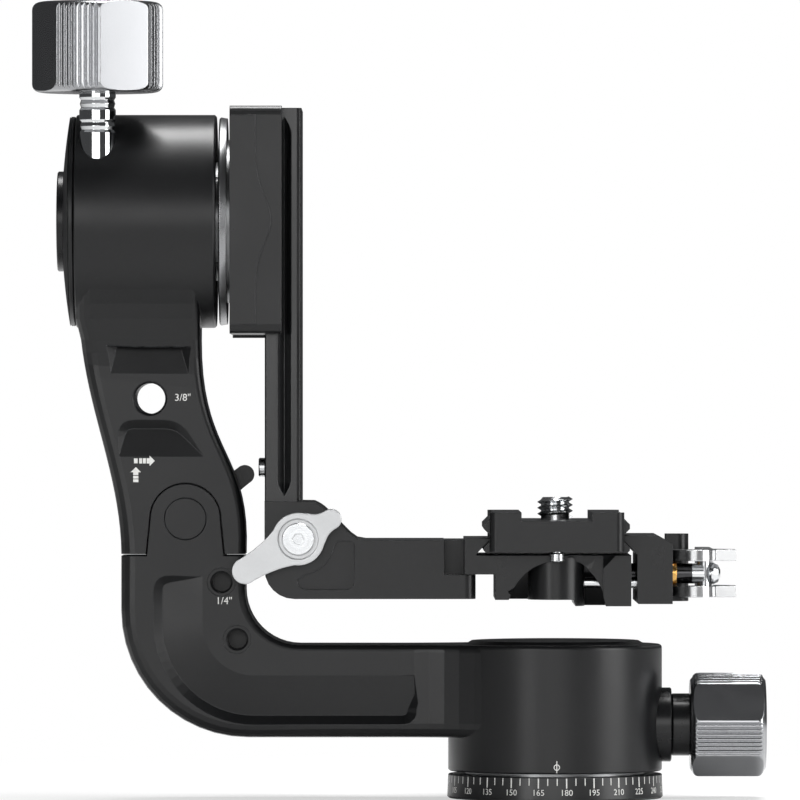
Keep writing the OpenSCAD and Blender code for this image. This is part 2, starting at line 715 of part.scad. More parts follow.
recess_corner = 4.5;
recess_a_z = tilt_z - 29.1;
recess_b_z = tilt_z - 53.5;
accessory_hole = [pin_x - 9.5, tilt_z - 47.8];
accessory_d = 8.2;

module upper_arm() color("#242629") difference() {
    union() {
        loft(upper_sections());
        turn_x(0, tilt_z, [[0, tilt_left], [tilt_r - 0.3, tilt_left], [tilt_r, tilt_left + 0.3],
                           [tilt_r, tilt_right - 0.5], [tilt_r - 0.5, tilt_right], [0, tilt_right]]);
        along_y(-core_t / 2, core_t / 2) tenon_outline(0, tenon_drop);
    }
    // Fork cheeks' recesses and the block's slot
    mirrored_y() along_y(-half_t - past, -core_t / 2) cheek_outline(seat_gap);
    along_y(-core_t, core_t) translate([pin_x, fold_z])
        polygon([[-block_half_x - slide_gap, -lift - block_half_z - slide_gap],
                 [block_half_x + slide_gap, -lift - block_half_z - slide_gap],
                 [block_half_x + slide_gap, block_half_z + slide_gap],
                 [-block_half_x - slide_gap, block_half_z + slide_gap]]);
    // Threaded accessory hole, right through
    rod_y(-half_t - 12, half_t + 12, accessory_hole.x, accessory_hole.y, accessory_d / 2);
    mirrored_y() turn_y(accessory_hole.x, accessory_hole.y,
        [[0, -half_t - 0.01], [accessory_d / 2 + 0.6, -half_t - 0.01], [accessory_d / 2 - 0.4, -half_t + 1],
         [0, -half_t + 1]]);
    // Bearing seats and brake chamber
    rod_x(bearing_left_x, tilt_right + past, 0, tilt_z, bearing_out + press_fit);
    rod_x(tilt_left - past, tilt_right, 0, tilt_z, drum_r + 0.6);
    rod_x(tilt_left - past, tilt_left + 0.6, 0, tilt_z, cap_spigot_r + press_fit);
    // Tilt lock: upright bore in front of the shaft
    rod_z(tilt_z - cotter_gap - cotter_h - 1.6, tilt_z + cotter_gap + cotter_h + 0.1, cotter_x,
          -tilt_lock_y, cotter_r + run_fit);
    rod_z(tilt_z, tilt_z + tilt_r, cotter_x, -tilt_lock_y, lock_shaft_r + run_fit);
    mirrored_y() {
        upper_recess([[pin_x + 1, recess_a_z - 16], [pin_x + 0.3, recess_a_z],
            [pin_x - 20.3, recess_a_z], [pin_x - 20, recess_a_z - 16]],
            recess_a_z, recess_a_z - 12);
        upper_recess([[pin_x + 9, recess_b_z - 16], [pin_x - 1.4, recess_b_z],
            [pin_x - 18.2, recess_b_z], [pin_x - 17.7, recess_b_z - 16]],
            recess_b_z, recess_b_z - 10);
    }
}

module tilt_end_cap() color("#202225") difference() {
    rim = tilt_left - cap_rim;
    sag = cap_dome;
    big = (tilt_r * tilt_r + sag * sag) / (2 * sag);
    top = rim - sag;
    edge = asin((tilt_r - 0.6) / big);
    turn_x(0, tilt_z, concat([[0, tilt_left + 0.5], [cap_spigot_r, tilt_left + 0.5],
        [cap_spigot_r, tilt_left - 0.1]],
        [[tilt_r - 0.9, tilt_left - 0.1], [tilt_r - 0.5, tilt_left - 0.4], [tilt_r - 0.5, rim + 0.3],
         [tilt_r - 0.9, rim]],
        [for (i = [0:10]) let (a = edge * (1 - i / 10)) [big * sin(a), top + big * (1 - cos(a))]]));
    rod_x(tilt_left - 0.4, tilt_left + 3, 0, tilt_z, drum_r + 0.6);
    rod_x(top - past, top + disc_t, 0, tilt_z, disc_r + 0.05);
}

module tilt_cap_disc() color("#141517")
    turn_x(0, tilt_z, ring_profile(0, disc_r, tilt_left - cap_rim - cap_dome - disc_t,
                                   tilt_left - cap_rim - cap_dome + disc_t, 0.3));

// Ball bearing parts, both bearings at once
module at_bearings() {
    for (x = [bearing_left_x, bearing_right_x]) translate([x, 0, tilt_z]) rotate([0, 90, 0]) children();
}

module race_groove() translate([0, 0, bearing_w / 2]) rotate_extrude()
    translate([tilt_circle, 0]) circle(tilt_ball_d / 2 + run_fit);

module tilt_outer_races() color("#c9ccd0") at_bearings() difference() {
    turn_z(0, 0, ring_profile(bearing_out - 2.9, bearing_out, 0, bearing_w, 0.3));
    race_groove();
}

module tilt_inner_races() color("#c9ccd0") at_bearings() difference() {
    turn_z(0, 0, ring_profile(bearing_in, bearing_in + 2.9, 0, bearing_w, 0.3));
    race_groove();
}

module tilt_balls() color("#dfe2e6") at_bearings()
    for (i = [0:tilt_ball_n - 1]) rotate(360 * i / tilt_ball_n)
        translate([tilt_circle, 0, bearing_w / 2]) sphere(tilt_ball_d / 2);

module cotter(z0, bore) difference() {
    rod_z(z0, z0 + cotter_h, cotter_x, -tilt_lock_y, cotter_r);
    rod_z(z0 - past, z0 + cotter_h + past, cotter_x, -tilt_lock_y, bore);
    rod_x(tilt_left - 2, tilt_right, 0, tilt_z, drum_r + 0.1);
}

module tilt_cotter_upper() color("#c9a45a") cotter(tilt_z + cotter_gap, 3.1);

module tilt_cotter_lower() color("#c9a45a") cotter(tilt_z - cotter_gap - cotter_h, 3 + run_fit);

module tilt_knob_shaft() color("#d5d8dc") {
    top = tilt_knob_z + 14;
    low = tilt_z + cotter_gap + cotter_h + 0.2;
    g1 = tilt_knob_z - 3;
    g2 = tilt_knob_z - 9;
    turn_z(cotter_x, -tilt_lock_y, concat([[0, tilt_z - cotter_gap - cotter_h + 1],
        [3, tilt_z - cotter_gap - cotter_h + 1], [3, low], [lock_shaft_r, low + 0.3]],
        [for (g = [g2, g1]) each [[lock_shaft_r, g - 1.7], [lock_shaft_r - 0.45, g - 1],
            [lock_shaft_r - 0.15, g], [lock_shaft_r - 0.45, g + 1], [lock_shaft_r, g + 1.7]]],
        [[lock_shaft_r, top], [0, top]]));
}

module tilt_knob() color("#8a8e93")
    translate([cotter_x, -tilt_lock_y, tilt_knob_z]) rotate(28)
        knob(tilt_knob_d, tilt_knob_l, lock_shaft_r);

module tilt_shaft() color("#a9acb0") difference() {
    turn_x(0, tilt_z, [[0, tilt_left + 1.2], [8, tilt_left + 1.2], [8, tilt_left + 1.3],
        [drum_r, tilt_left + 1.3], [drum_r, bearing_left_x - 0.6], [bearing_in + 2, bearing_left_x - 0.6],
        [bearing_in + 2, bearing_left_x], [bearing_in, bearing_left_x],
        [bearing_in, bearing_right_x + bearing_w + 0.4], [16, bearing_right_x + bearing_w + 0.4],
        [16, flange_ring_x + 0.01], [22, flange_ring_x + 0.01], [22, clamp_left], [0, clamp_left]]);
    for (a = [45:90:315]) translate([0, 0, tilt_z]) rotate([a, 0, 0])
        rod_x(clamp_left - clamp_screw_l - 0.2, clamp_left + 1, 0, 14, clamp_screw_r + press_fit);
}

module tilt_shaft_nut() color("#7d8085")
    turn_x(0, tilt_z, ring_profile(bearing_in, bearing_in + 3.5, bearing_left_x + bearing_w + 0.5,
                                   bearing_right_x - 0.5, 0.3));

module tilt_flange_ring() color("#b9bcc0")
    turn_x(0, tilt_z, [[22, flange_ring_x], [flange_ring_r - 0.4, flange_ring_x],
        [flange_ring_r, flange_ring_x + 0.4], [flange_ring_r - 0.3, flange_ring_x + flange_ring_t],
        [22, flange_ring_x + flange_ring_t]]);

// ---- Swing arm ----

// Jaw that holds the rail's front or back flange, looking down on it: a lip
// reaches into the rail's V groove. Measured on the side y > 0.
module jaw_plan(inner_y) polygon([[clamp_left, inner_y], [rail_left - slide_gap, inner_y],
    [rail_left - slide_gap, jaw_y], [rail_left + 3.3 + slide_gap, jaw_y],
    [clamp_right, jaw_y - (lip_reach - 3.3 - slide_gap)], [clamp_right, clamp_half_y],
    [clamp_left, clamp_half_y]]);

// Rounded side view of the clamp
module clamp_side(low) {
    r = clamp_edge;
    z0 = tilt_z - clamp_h / 2 - low;
    z1 = tilt_z + clamp_h / 2;
    y1 = clamp_half_y;
    polygon(concat(arc([y1 - r, z1 - r], r, 0, 90, 4), arc([-y1 + r, z1 - r], r, 90, 180, 4),
                   arc([-y1 + r, z0 + r], r, 180, 270, 4), arc([y1 - r, z0 + r], r, 270, 360, 4)));
}

// Face pad with a wavy edge: a bulge in line with the clamp screw
seam_x = clamp_left + 6.9;
seam_bulge = 4.2;
seam_spread = 6.2;
pad_h = 0.8;
module face_pad() {
    z0 = tilt_z - clamp_h / 2 + clamp_edge;
    z1 = tilt_z + clamp_h / 2 - clamp_edge;
    steps = 24;
    edge = [for (i = [0:steps]) let (z = z0 + (z1 - z0) * i / steps)
            [seam_x + seam_bulge * exp(-pow((z - tilt_z) / seam_spread, 2) / 2), z]];
    along_y(-clamp_half_y - pad_h, -clamp_half_y + 0.5)
        polygon(concat([[clamp_left, z1], [clamp_left, z0]], edge));
}

split_y = 20.6;

// The lips stop short of the clamp's top, clear of the groove's end in the rail
module lip_relief(side)
    block([rail_left, min(0, side * jaw_y), groove_top - 11],
          [clamp_right + past, max(0, side * jaw_y), rail_top + 9]);

module rail_clamp_body() color("#26282b") difference() {
    union() {
        intersection() {
            translate([0, 0, tilt_z - clamp_h / 2]) linear_extrude(clamp_h) {
                mirror([0, 1]) jaw_plan(0);
                polygon([[clamp_left, -1], [rail_left - slide_gap, -1],
                         [rail_left - slide_gap, split_y - 0.8], [clamp_left, split_y - 0.8]]);
            }
            along_x(clamp_left - 1, clamp_right + 1) clamp_side(0);
        }
        face_pad();
    }
    rod_y(-clamp_half_y + 3, clamp_half_y, clamp_screw_x, tilt_z, 3 + run_fit);
    for (z = [-20, 20]) rod_y(5, split_y, clamp_screw_x, tilt_z + z, 2 + press_fit);
    lip_relief(-1);
    for (a = [45:90:315]) translate([0, 0, tilt_z]) rotate([a, 0, 0]) {
        rod_x(clamp_left - past, clamp_right, 0, 14, clamp_screw_r + press_fit);
        rod_x(rail_left - slide_gap - 2.6, clamp_right, 0, 14, 3.6);
    }
}

module rail_clamp_jaw() color("#1f2124") difference() {
    intersection() {
        translate([0, 0, tilt_z - clamp_h / 2 - 0.8]) linear_extrude(clamp_h + 0.8) intersection() {
            jaw_plan(jaw_y);
            union() {
                translate([clamp_left, split_y]) square([clamp_t, clamp_half_y]);
                translate([rail_left - slide_gap, 0]) square([clamp_t, clamp_half_y]);
            }
        }
        along_x(clamp_left - 1, clamp_right + 1) clamp_side(0.8);
    }
    rod_y(split_y - past, clamp_half_y + past, clamp_screw_x, tilt_z, 3 + run_fit);
    lip_relief(1);
    for (z = [-20, 20]) rod_y(split_y - past, split_y + 4, clamp_screw_x, tilt_z + z, 2 + run_fit);
}

module rail_guide_pins() color("#b9bcc0")
    for (z = [-20, 20]) rod_y(5, split_y + 3.6, clamp_screw_x, tilt_z + z, 2);

module rail_clamp_screws() color("#8e9196")
    for (a = [45:90:315]) translate([0, 0, tilt_z]) rotate([a, 0, 0]) difference() {
        union() {
            rod_x(clamp_left - clamp_screw_l, rail_left - slide_gap - 2.6, 0, 14, clamp_screw_r);
            rod_x(rail_left - slide_gap - 2.6, rail_left - slide_gap - 0.2, 0, 14, 3.5);
        }
        along_x(rail_left - 2, clamp_right) translate([0, 14]) circle(1.5, $fn = 6);
    }

rail_knob_y = clamp_half_y + 4.2;
module rail_knob_stud() color("#b9bcc0") {
    rod_y(-clamp_half_y + 4, rail_knob_y + 9, clamp_screw_x, tilt_z, 3);
}

module rail_knob() color("#7d8186") {
    translate([clamp_screw_x, rail_knob_y, tilt_z]) rotate([-90, 0, 0]) knob(rail_knob_d, 13, 3);
    turn_y(clamp_screw_x, tilt_z, ring_profile(3, 4.8, clamp_half_y + 0.1, rail_knob_y, 0.3));
}

// Rail: full-height flanges with a V groove down each side that runs out
// short of both ends in the cutter's curve
groove_top = rail_top - 2.2;
groove_low = cheek_top + 1;
module rail() color("#202225") difference() {
    union() {
        translate([0, 0, pivot_z]) linear_extrude(rail_top - pivot_z)
            polygon([[rail_left, -rail_half + 0.4], [rail_left + 0.4, -rail_half],
                [rail_right - 1.2, -rail_half], [rail_right - 0.35, -rail_half + 0.35],
                [rail_right, -rail_half + 1.2], [rail_right, rail_half - 1.2],
                [rail_right - 0.35, rail_half - 0.35], [rail_right - 1.2, rail_half],
                [rail_left + 0.4, rail_half], [rail_left, rail_half - 0.4]]);
        rod_y(-rail_half, rail_half, pivot_x, pivot_z, eye_r);
    }
    mid_x = rail_left + groove_mid;
    mirrored_y() translate([mid_x, -rail_half, 0]) {
        translate([0, 0, groove_low + 5]) linear_extrude(groove_top - groove_low - 10)
            polygon([[-groove_depth - 0.5, -0.5], [0, groove_depth], [groove_depth + 0.5, -0.5]]);
        for (z = [groove_low + 5, groove_top - 5])
            translate([0, groove_depth - groove_cutter_r, z]) rotate([0, 90, 0]) rotate_extrude()
                polygon([[0, -groove_cutter_r], [0, groove_cutter_r], [groove_cutter_r, 0]]);
    }
    rod_y(-rail_half - past, rail_half + past, pivot_x, pivot_z, bolt_r + 1.5);
    rod_x(rail_left - past, rail_right - 3, 0, stop_pin_z - 2.6, 1.6);
}

module rail_stop_pin() color("#c9ccd0") difference() {
    union() {
        turn_x(0, stop_pin_z - 2.6, ring_profile(0, 2.6, rail_left - 1.9, rail_left, 0.3));
        rod_x(rail_left - 0.5, rail_right - 3.5, 0, stop_pin_z - 2.6, 1.6);
    }
    along_x(rail_left - 3, rail_left - 0.8) translate([0, stop_pin_z - 2.6]) circle(1.2, $fn = 6);
}

// ---- Cradle arm ----

// Side outline of the cradle arm with its fork cheeks
neck_x = -30;
lap_x = -21.6;
module cradle_side() {
    r = 8;
    slope = pivot_z - 0.5;
    polygon(concat([[rail_left, cheek_top]],
        arc([pivot_x, pivot_z], cheek_top - pivot_z + 0.6, 68, 45, 4),
        [[pivot_x + 13.8, pivot_z + 1.3], [pivot_x + 15.6, pivot_z], [pivot_x + 18, cradle_top]],
        [[neck_x, cradle_top], [neck_x, cradle_bottom], [rail_left + r, cradle_bottom]],
        arc([rail_left + r, cradle_bottom + r], r, 270, 180, 6)));
}

// The rail's lower end stands in this slot and swings through it
module cradle_slot() {
    translate([pivot_x, pivot_z]) circle(eye_r + 0.4);
    polygon([[rail_left - past, pivot_z], [rail_left - past, cheek_top + past],
             [pivot_x + 30, cheek_top + past], [pivot_x + 30, cradle_top], [pivot_x, cradle_top]]);
}

module cradle_arm() color("#242629") difference() {
    union() {
        along_y(-cradle_half, cradle_half) cradle_side();
        // Lower tongue that reaches under the plate clamp
        rod_z(cradle_bottom, cradle_bottom + 6.5, lap_x - 3, -cradle_half + 3, 3);
        rod_z(cradle_bottom, cradle_bottom + 6.5, lap_x - 3, cradle_half - 3, 3);
        block([neck_x - 1, -cradle_half, cradle_bottom], [lap_x - 3, cradle_half, cradle_bottom + 6.5]);
        block([lap_x - 4, -cradle_half + 3, cradle_bottom], [lap_x, cradle_half - 3, cradle_bottom + 6.5]);
        block([neck_x - 1, -14, cradle_bottom], [body_left, 14, cradle_top]);
    }
    along_y(-rail_half - 0.2, rail_half + 0.2) cradle_slot();
    for (y = [-8, 8]) rod_x(clamp_stud_start, lap_x, y, clamp_stud_z, clamp_stud_r + press_fit);
    mirrored_y() {
        rod_y(-cradle_half - past, cradle_half + past, pivot_x, pivot_z, bolt_r + run_fit);
        // Shallow recess along the foot of the side, round the pivot's boss
        difference() {
            along_y(-cradle_half - past, -cradle_half + 1) translate([rail_left + 8.7, cradle_bottom + 2.5])
                polygon(concat(arc([2.5, 2.5], 2.5, 180, 270, 4), [[11, 0]],
                    arc([13.4, 2], 2, 270, 360, 3), [[15.4, 11.5]], arc([13.9, 11.5], 1.5, 0, 90, 3),
                    [[11, 13]], [[4, 5.5]]));
            rod_y(-cradle_half - 2, 0, pivot_x, pivot_z, 9.8);
        }
    }
}

module cradle_bush() color("#b58a3c")
    turn_y(pivot_x, pivot_z, ring_profile(bolt_r + run_fit, bolt_r + 1.5, -rail_half, rail_half, 0.2));

module cradle_bolt() color("#c9ccd0") difference() {
    union() {
        rod_y(-cradle_half - silver_t, cradle_half + 4.5, pivot_x, pivot_z, bolt_r);
        turn_y(pivot_x, pivot_z, ring_profile(0, 4.3, -cradle_half - silver_t - 0.6,
                                              -cradle_half - silver_t + 0.8, 0.2));
    }
    along_y(-cradle_half - silver_t - 1, -cradle_half - silver_t + 1.6)
        translate([pivot_x, pivot_z]) circle(1.55, $fn = 6);
}

module cradle_nut() color("#8e9196") difference() {
    along_y(cradle_half + 0.1, cradle_half + 4.4) translate([pivot_x, pivot_z]) circle(7, $fn = 6);
    rod_y(0, cradle_half + 6, pivot_x, pivot_z, bolt_r + press_fit);
}

// Silver lock lever in front: a long arm down to the left, a short one up
module cradle_lever() color("#d9dbdd") difference() {
    lever_plate(-cradle_half - silver_t, -cradle_half - 0.3, pivot_x, pivot_z, 7,
                [[211, 16.5, 3.5], [31, 10.3, 2.75]]);
    rod_y(-cradle_half - silver_t - past, -cradle_half + 1, pivot_x, pivot_z, bolt_r + run_fit);
    rod_y(-cradle_half - silver_t - past, -cradle_half - silver_t + 0.8, pivot_x, pivot_z, 5.4);
}

// ---- Plate clamp ----

lap_z = cradle_bottom + 6.6;
clamp_stud_r = 1.7;
clamp_stud_z = lap_z + 2.9;
clamp_stud_start = -36;
clamp_stud_end = -17;
module plate_clamp_body() color("#242629") difference() {
    union() {
        // Side view: fixed jaw on the left, floor, and the foot on the right
        along_y(-jaw_half, jaw_half) polygon([[body_left, lap_z], [step_left, lap_z],
            [step_left, cradle_bottom - 0.2], [4.5, cradle_bottom - 0.2], [5.1, foot_z],
            [body_right, foot_z], [body_right, clamp_floor], [-plate_half - 1.9, clamp_floor],
            [-plate_half - 1.9, clamp_floor + grip_face - 1.9],
            [4.2 - grip_face - plate_half, clamp_floor + 4.2],
            [3.9 - grip_face - plate_half, clamp_floor + 4.5], [body_left, clamp_floor + 4.5]]);
    }
    // Scalloped front and back: sloping flutes beside an upright boss
    mirrored_y() difference() {
        union() {
            for (s = [-1, 1]) {
                translate([s * 15, -jaw_half - 2.2, clamp_floor + 3.2]) rotate([0, s * 52, 0])
                    translate([0, 0, -30]) cylinder(r1 = 7.5, r2 = 3.6, h = 30);
                block([min(s * 7, s * 12.5), -jaw_half - past, foot_z - past],
                      [max(s * 7, s * 12.5), -jaw_half + 2.2, clamp_floor + past]);
            }
            translate([0, -jaw_half - 5, foot_z - 6]) rotate([-62, 0, 0]) cylinder(r = 13.5, h = 20);
        }
        rod_z(foot_z - 2, clamp_floor + 2, 0, -jaw_half + 7.6, 7.6);
    }
    for (y = [-guide_y, guide_y]) rod_x(0, body_right + past, y, guide_z, guide_r + run_fit);
    rod_x(-10, body_right + past, 0, cam_z, rod_r + press_fit);
    for (y = [-8, 8]) rod_x(body_left - past, clamp_stud_end, y, clamp_stud_z, clamp_stud_r + press_fit);
}

module plate_clamp_screws() color("#8e9196")
    for (y = [-8, 8]) rod_x(clamp_stud_start, clamp_stud_end, y, clamp_stud_z, clamp_stud_r);

module clamp_jaw() color("#202225") difference() {
    union() {
        along_y(-jaw_half, jaw_half) polygon([[jaw_left, foot_z + 0.9], [jaw_left + 0.3, foot_z + 0.6],
            [jaw_right, foot_z + 0.6], [jaw_right, jaw_top - 2.1], [jaw_right - 3.8, jaw_top],
            [plate_half + grip_face - 3.8, jaw_top], [plate_half + grip_face - 4.1, clamp_floor + 4.1],
            [jaw_left, clamp_floor + grip_face - jaw_left + plate_half]]);
        // Rounded rest for the lever behind the cam
        rod_z(foot_z + 0.6, jaw_top, jaw_right + 2.4, 14, 3);
        block([jaw_right - 1, 11, foot_z + 0.6], [jaw_right + 2.4, 17, jaw_top]);
    }
    rod_x(jaw_left - past, jaw_right + past, 0, cam_z, bush_r + press_fit);
    for (y = [-guide_y, guide_y]) rod_x(jaw_left - past, jaw_left + 7, y, guide_z, guide_r + press_fit);
}

module guide_rods() color("#8e9196")
    for (y = [-guide_y, guide_y]) rod_x(6, jaw_left + 6.8, y, guide_z, guide_r);

module brass_bush() color("#b5832e")
    turn_x(0, cam_z, ring_profile(rod_fit_r, bush_r, jaw_right - 5, jaw_right + 1.8, 0.1));

// Draw rod with the cross barrel and the domed screw in one assembly
module draw_rod() color("#3a3c3f") {
    rod_x(-9.8, cam_pivot_x, 0, cam_z, rod_r);
    rod_z(cam_z - cam_gap / 2 - cam_t, cam_z + cam_gap / 2 + cam_t, cam_pivot_x, 0, 1.85);
    turn_x(0, cam_z, [[0, cam_pivot_x], [1.2, cam_pivot_x], [1.2, cam_pivot_x + 1.9],
        [2.9, cam_pivot_x + 1.9], [2.9, cam_pivot_x + 2.6], [2.3, cam_pivot_x + 3.8],
        [1, cam_pivot_x + 4.4], [0, cam_pivot_x + 4.4]]);
}

module cam_plan() difference() {
    union() {
        translate([cam_pivot_x - cam_throw, 0]) circle(cam_r);
        polygon([[cam_pivot_x + 3.3, -1.2], [cam_pivot_x + 8.7, -1.2], [cam_pivot_x + 8.7, 10],
                 [cam_pivot_x + 3, 17], [cam_pivot_x - 1, 17], [cam_pivot_x - 1, 0]]);
    }
    translate([cam_pivot_x, 0]) circle(1.85 + run_fit);
}

module cam_lever() color("#c5c8cc") {
    for (z = [cam_z - cam_gap / 2 - cam_t, cam_z + cam_gap / 2]) translate([0, 0, z])
        linear_extrude(cam_t) cam_plan();
    translate([0, 0, cam_z - cam_gap / 2 - cam_t]) linear_extrude(cam_gap + 2 * cam_t)
        polygon(concat([[cam_pivot_x - 1, 15]], arc([cam_pivot_x + 1, 47], 2, 180, 0, 8),
                       [[cam_pivot_x + 3, 15]]));
}

// Plate with a dovetail above and below, a channel on top and closed ends
module qr_plate() color("#26282b") difference() {
    union() {
        along_y(-plate_l / 2 + 4, plate_l / 2 - 4) polygon([
            [-plate_half + 0.6, plate_bottom], [plate_half - 0.6, plate_bottom],
            [plate_half, plate_bottom + 0.6], [plate_half, plate_bottom + 1.4],
            [plate_half - 2.5, plate_bottom + 3.9], [plate_half, plate_bottom + 6.4],
            [plate_half, plate_bottom + 7.6], [plate_half - 1.5, plate_bottom + 9.1],
            [-plate_half + 1.5, plate_bottom + 9.1], [-plate_half, plate_bottom + 7.6],
            [-plate_half, plate_bottom + 6.4], [-plate_half + 2.5, plate_bottom + 3.9],
            [-plate_half, plate_bottom + 1.4], [-plate_half, plate_bottom + 0.6]]);
        r = 2;
        x1 = plate_half - 1.55;
        y1 = plate_l / 2;
        translate([0, 0, plate_bottom + 0.3]) linear_extrude(plate_top - plate_bottom - 0.3)
            for (s = [-1, 1]) polygon([for (p = concat([[x1, y1 - 4.2]], arc([x1 - r, y1 - r], r, 0, 90, 5),
                arc([-x1 + r, y1 - r], r, 90, 180, 5), [[-x1, y1 - 4.2]])) [p.x, s * p.y]]);
        block([-plate_half + 2.5, -y1 + 4, plate_bottom + 9], [plate_half - 2.5, y1 - 4, plate_top]);
    }
    block([-9.45, -plate_l, plate_top - 2.3], [9.45, plate_l, plate_top + past]);
    rod_z(0, plate_top, 0, 0, camera_screw_d / 2 + 0.1);
    rod_z(0, plate_bottom + 3.4, 0, 0, 8.6);
    for (y = [-stop_y, stop_y]) rod_z(0, plate_bottom + 4, 0, y, 1.25 + press_fit);
}

module plate_stop_pins() color("#c9ccd0") for (y = [-stop_y, stop_y]) {
    turn_z(0, y, ring_profile(0, stop_r, plate_bottom - 2.4, plate_bottom, 0.3));
    rod_z(plate_bottom - 0.5, plate_bottom + 3.8, 0, y, 1.25);
}

// Slotted head under the plate, thin neck through it and the thread above
screw_neck_r = camera_screw_d / 2 - 0.65;
screw_neck_top = plate_top - 2.2;
module camera_screw() color("#c9ccd0") difference() {
    turn_z(0, 0, [[0, plate_bottom + 0.5], [8.3, plate_bottom + 0.5], [8.3, plate_bottom + 3.1],
        [screw_neck_r, plate_bottom + 3.1], [screw_neck_r, screw_neck_top],
        [camera_screw_d / 2, screw_neck_top], [camera_screw_d / 2, plate_top + 3.2],
        [camera_screw_d / 2 - 0.6, plate_top + 3.8], [0, plate_top + 3.8]]);
    block([-7, -0.9, plate_bottom - past], [7, 0.9, plate_bottom + 1.6]);
}

scale_ring();
base_plate();
tripod_socket();
base_screws();
pan_spindle();
pan_race_lower();
pan_cage();
pan_balls();
spindle_nut();
lower_arm();
arm_thread_inserts();
pan_race_upper();
pan_bush();
pan_lid();
pan_collar();
pan_brake_shoe();
pan_knob_stud();
pan_knob_hub();
pan_knob();
fold_pin();
fold_pin_cap();
fold_lever();
fold_lever_screw();
fold_block();
upper_arm();
tilt_end_cap();
tilt_cap_disc();
tilt_outer_races();
tilt_inner_races();
tilt_balls();
tilt_cotter_upper();
tilt_cotter_lower();
tilt_knob();
tilt_knob_shaft();
tilt_shaft();
tilt_shaft_nut();
tilt_flange_ring();
rail_clamp_body();
rail_clamp_jaw();
rail_clamp_screws();
rail_guide_pins();
rail_knob();
rail_knob_stud();
rail();
rail_stop_pin();
cradle_arm();
cradle_bush();
cradle_bolt();
cradle_nut();
cradle_lever();
plate_clamp_body();
plate_clamp_screws();
clamp_jaw();
guide_rods();
brass_bush();
draw_rod();
cam_lever();
qr_plate();
plate_stop_pins();
camera_screw();
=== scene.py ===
import math

import bpy
from mathutils import Matrix, Vector


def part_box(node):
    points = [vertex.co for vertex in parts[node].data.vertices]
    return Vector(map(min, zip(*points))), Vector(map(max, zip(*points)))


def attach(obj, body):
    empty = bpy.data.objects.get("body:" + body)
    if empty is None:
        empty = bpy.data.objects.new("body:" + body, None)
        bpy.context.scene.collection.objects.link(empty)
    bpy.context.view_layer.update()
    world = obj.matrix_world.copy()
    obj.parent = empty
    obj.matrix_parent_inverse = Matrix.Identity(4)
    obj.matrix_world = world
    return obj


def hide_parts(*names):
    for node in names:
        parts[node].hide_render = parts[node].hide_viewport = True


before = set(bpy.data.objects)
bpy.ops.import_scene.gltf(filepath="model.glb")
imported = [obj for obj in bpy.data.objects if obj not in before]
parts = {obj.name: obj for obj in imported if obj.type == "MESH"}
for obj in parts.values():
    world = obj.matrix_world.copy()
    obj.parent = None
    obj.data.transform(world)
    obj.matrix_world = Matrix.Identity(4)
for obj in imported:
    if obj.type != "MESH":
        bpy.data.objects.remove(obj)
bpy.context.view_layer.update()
mm = 0.001


# ---- Studio ----
# The head stands on a plain pale table in front of white paper. A large soft box hangs
# overhead, a tall one stands to each side and a broad one behind the camera.
head_middle = Vector((-0.042, 0, 0.11))


def soft_box(name, place, width, height, power):
    lamp = bpy.data.lights.new(name, "AREA")
    lamp.shape = "RECTANGLE"
    lamp.size = width
    lamp.size_y = height
    lamp.energy = power
    obj = bpy.data.objects.new(name, lamp)
    bpy.context.scene.collection.objects.link(obj)
    obj.location = place
    aim = head_middle - Vector(place)
    obj.rotation_euler = aim.to_track_quat("-Z", "Y").to_euler()


soft_box("overhead_box", (0.10, 0.16, 1.15), 0.75, 0.42, 19)
soft_box("left_front_box", (-0.56, -1.0, 0.25), 0.30, 1.0, 5)
soft_box("right_box", (0.93, -0.45, 0.25), 0.52, 1.1, 11)
soft_box("front_box", (-0.05, -2.9, 0.55), 1.5, 1.0, 15)


def studio_white(tree, shader, to_camera, to_metal):
    """White paper as the camera and polished metal see it, each by its own share.

    The camera's share may be a number or the output that gives it."""
    path = tree.nodes.new("ShaderNodeLightPath")
    kind = "ShaderNodeBackground" if shader.type == "BACKGROUND" else "ShaderNodeEmission"
    white = tree.nodes.new(kind)
    white.inputs["Color"].default_value = (1, 1, 1, 1)
    white.inputs["Strength"].default_value = 1
    seen = tree.nodes.new("ShaderNodeMath")
    seen.operation = "MULTIPLY"
    tree.links.new(path.outputs["Is Camera Ray"], seen.inputs[0])
    if hasattr(to_camera, "is_output"):
        tree.links.new(to_camera, seen.inputs[1])
    else:
        seen.inputs[1].default_value = to_camera
    amount = tree.nodes.new("ShaderNodeMath")
    amount.operation = "MULTIPLY_ADD"
    amount.inputs[1].default_value = to_metal
    tree.links.new(path.outputs["Is Glossy Ray"], amount.inputs[0])
    tree.links.new(seen.outputs[0], amount.inputs[2])
    mix = tree.nodes.new("ShaderNodeMixShader")
    tree.links.new(amount.outputs[0], mix.inputs[0])
    tree.links.new(shader.outputs[0], mix.inputs[1])
    tree.links.new(white.outputs[0], mix.inputs[2])
    return mix


world = bpy.data.worlds.new("studio")
world.use_nodes = True
bpy.context.scene.world = world
sky = world.node_tree.nodes["Background"]
sky.inputs["Color"].default_value = (0.94, 0.96, 1, 1)
sky.inputs["Strength"].default_value = 0.06
room = studio_white(world.node_tree, sky, 1, 0.02)
world.node_tree.links.new(room.outputs[0], world.node_tree.nodes["World Output"].inputs[0])

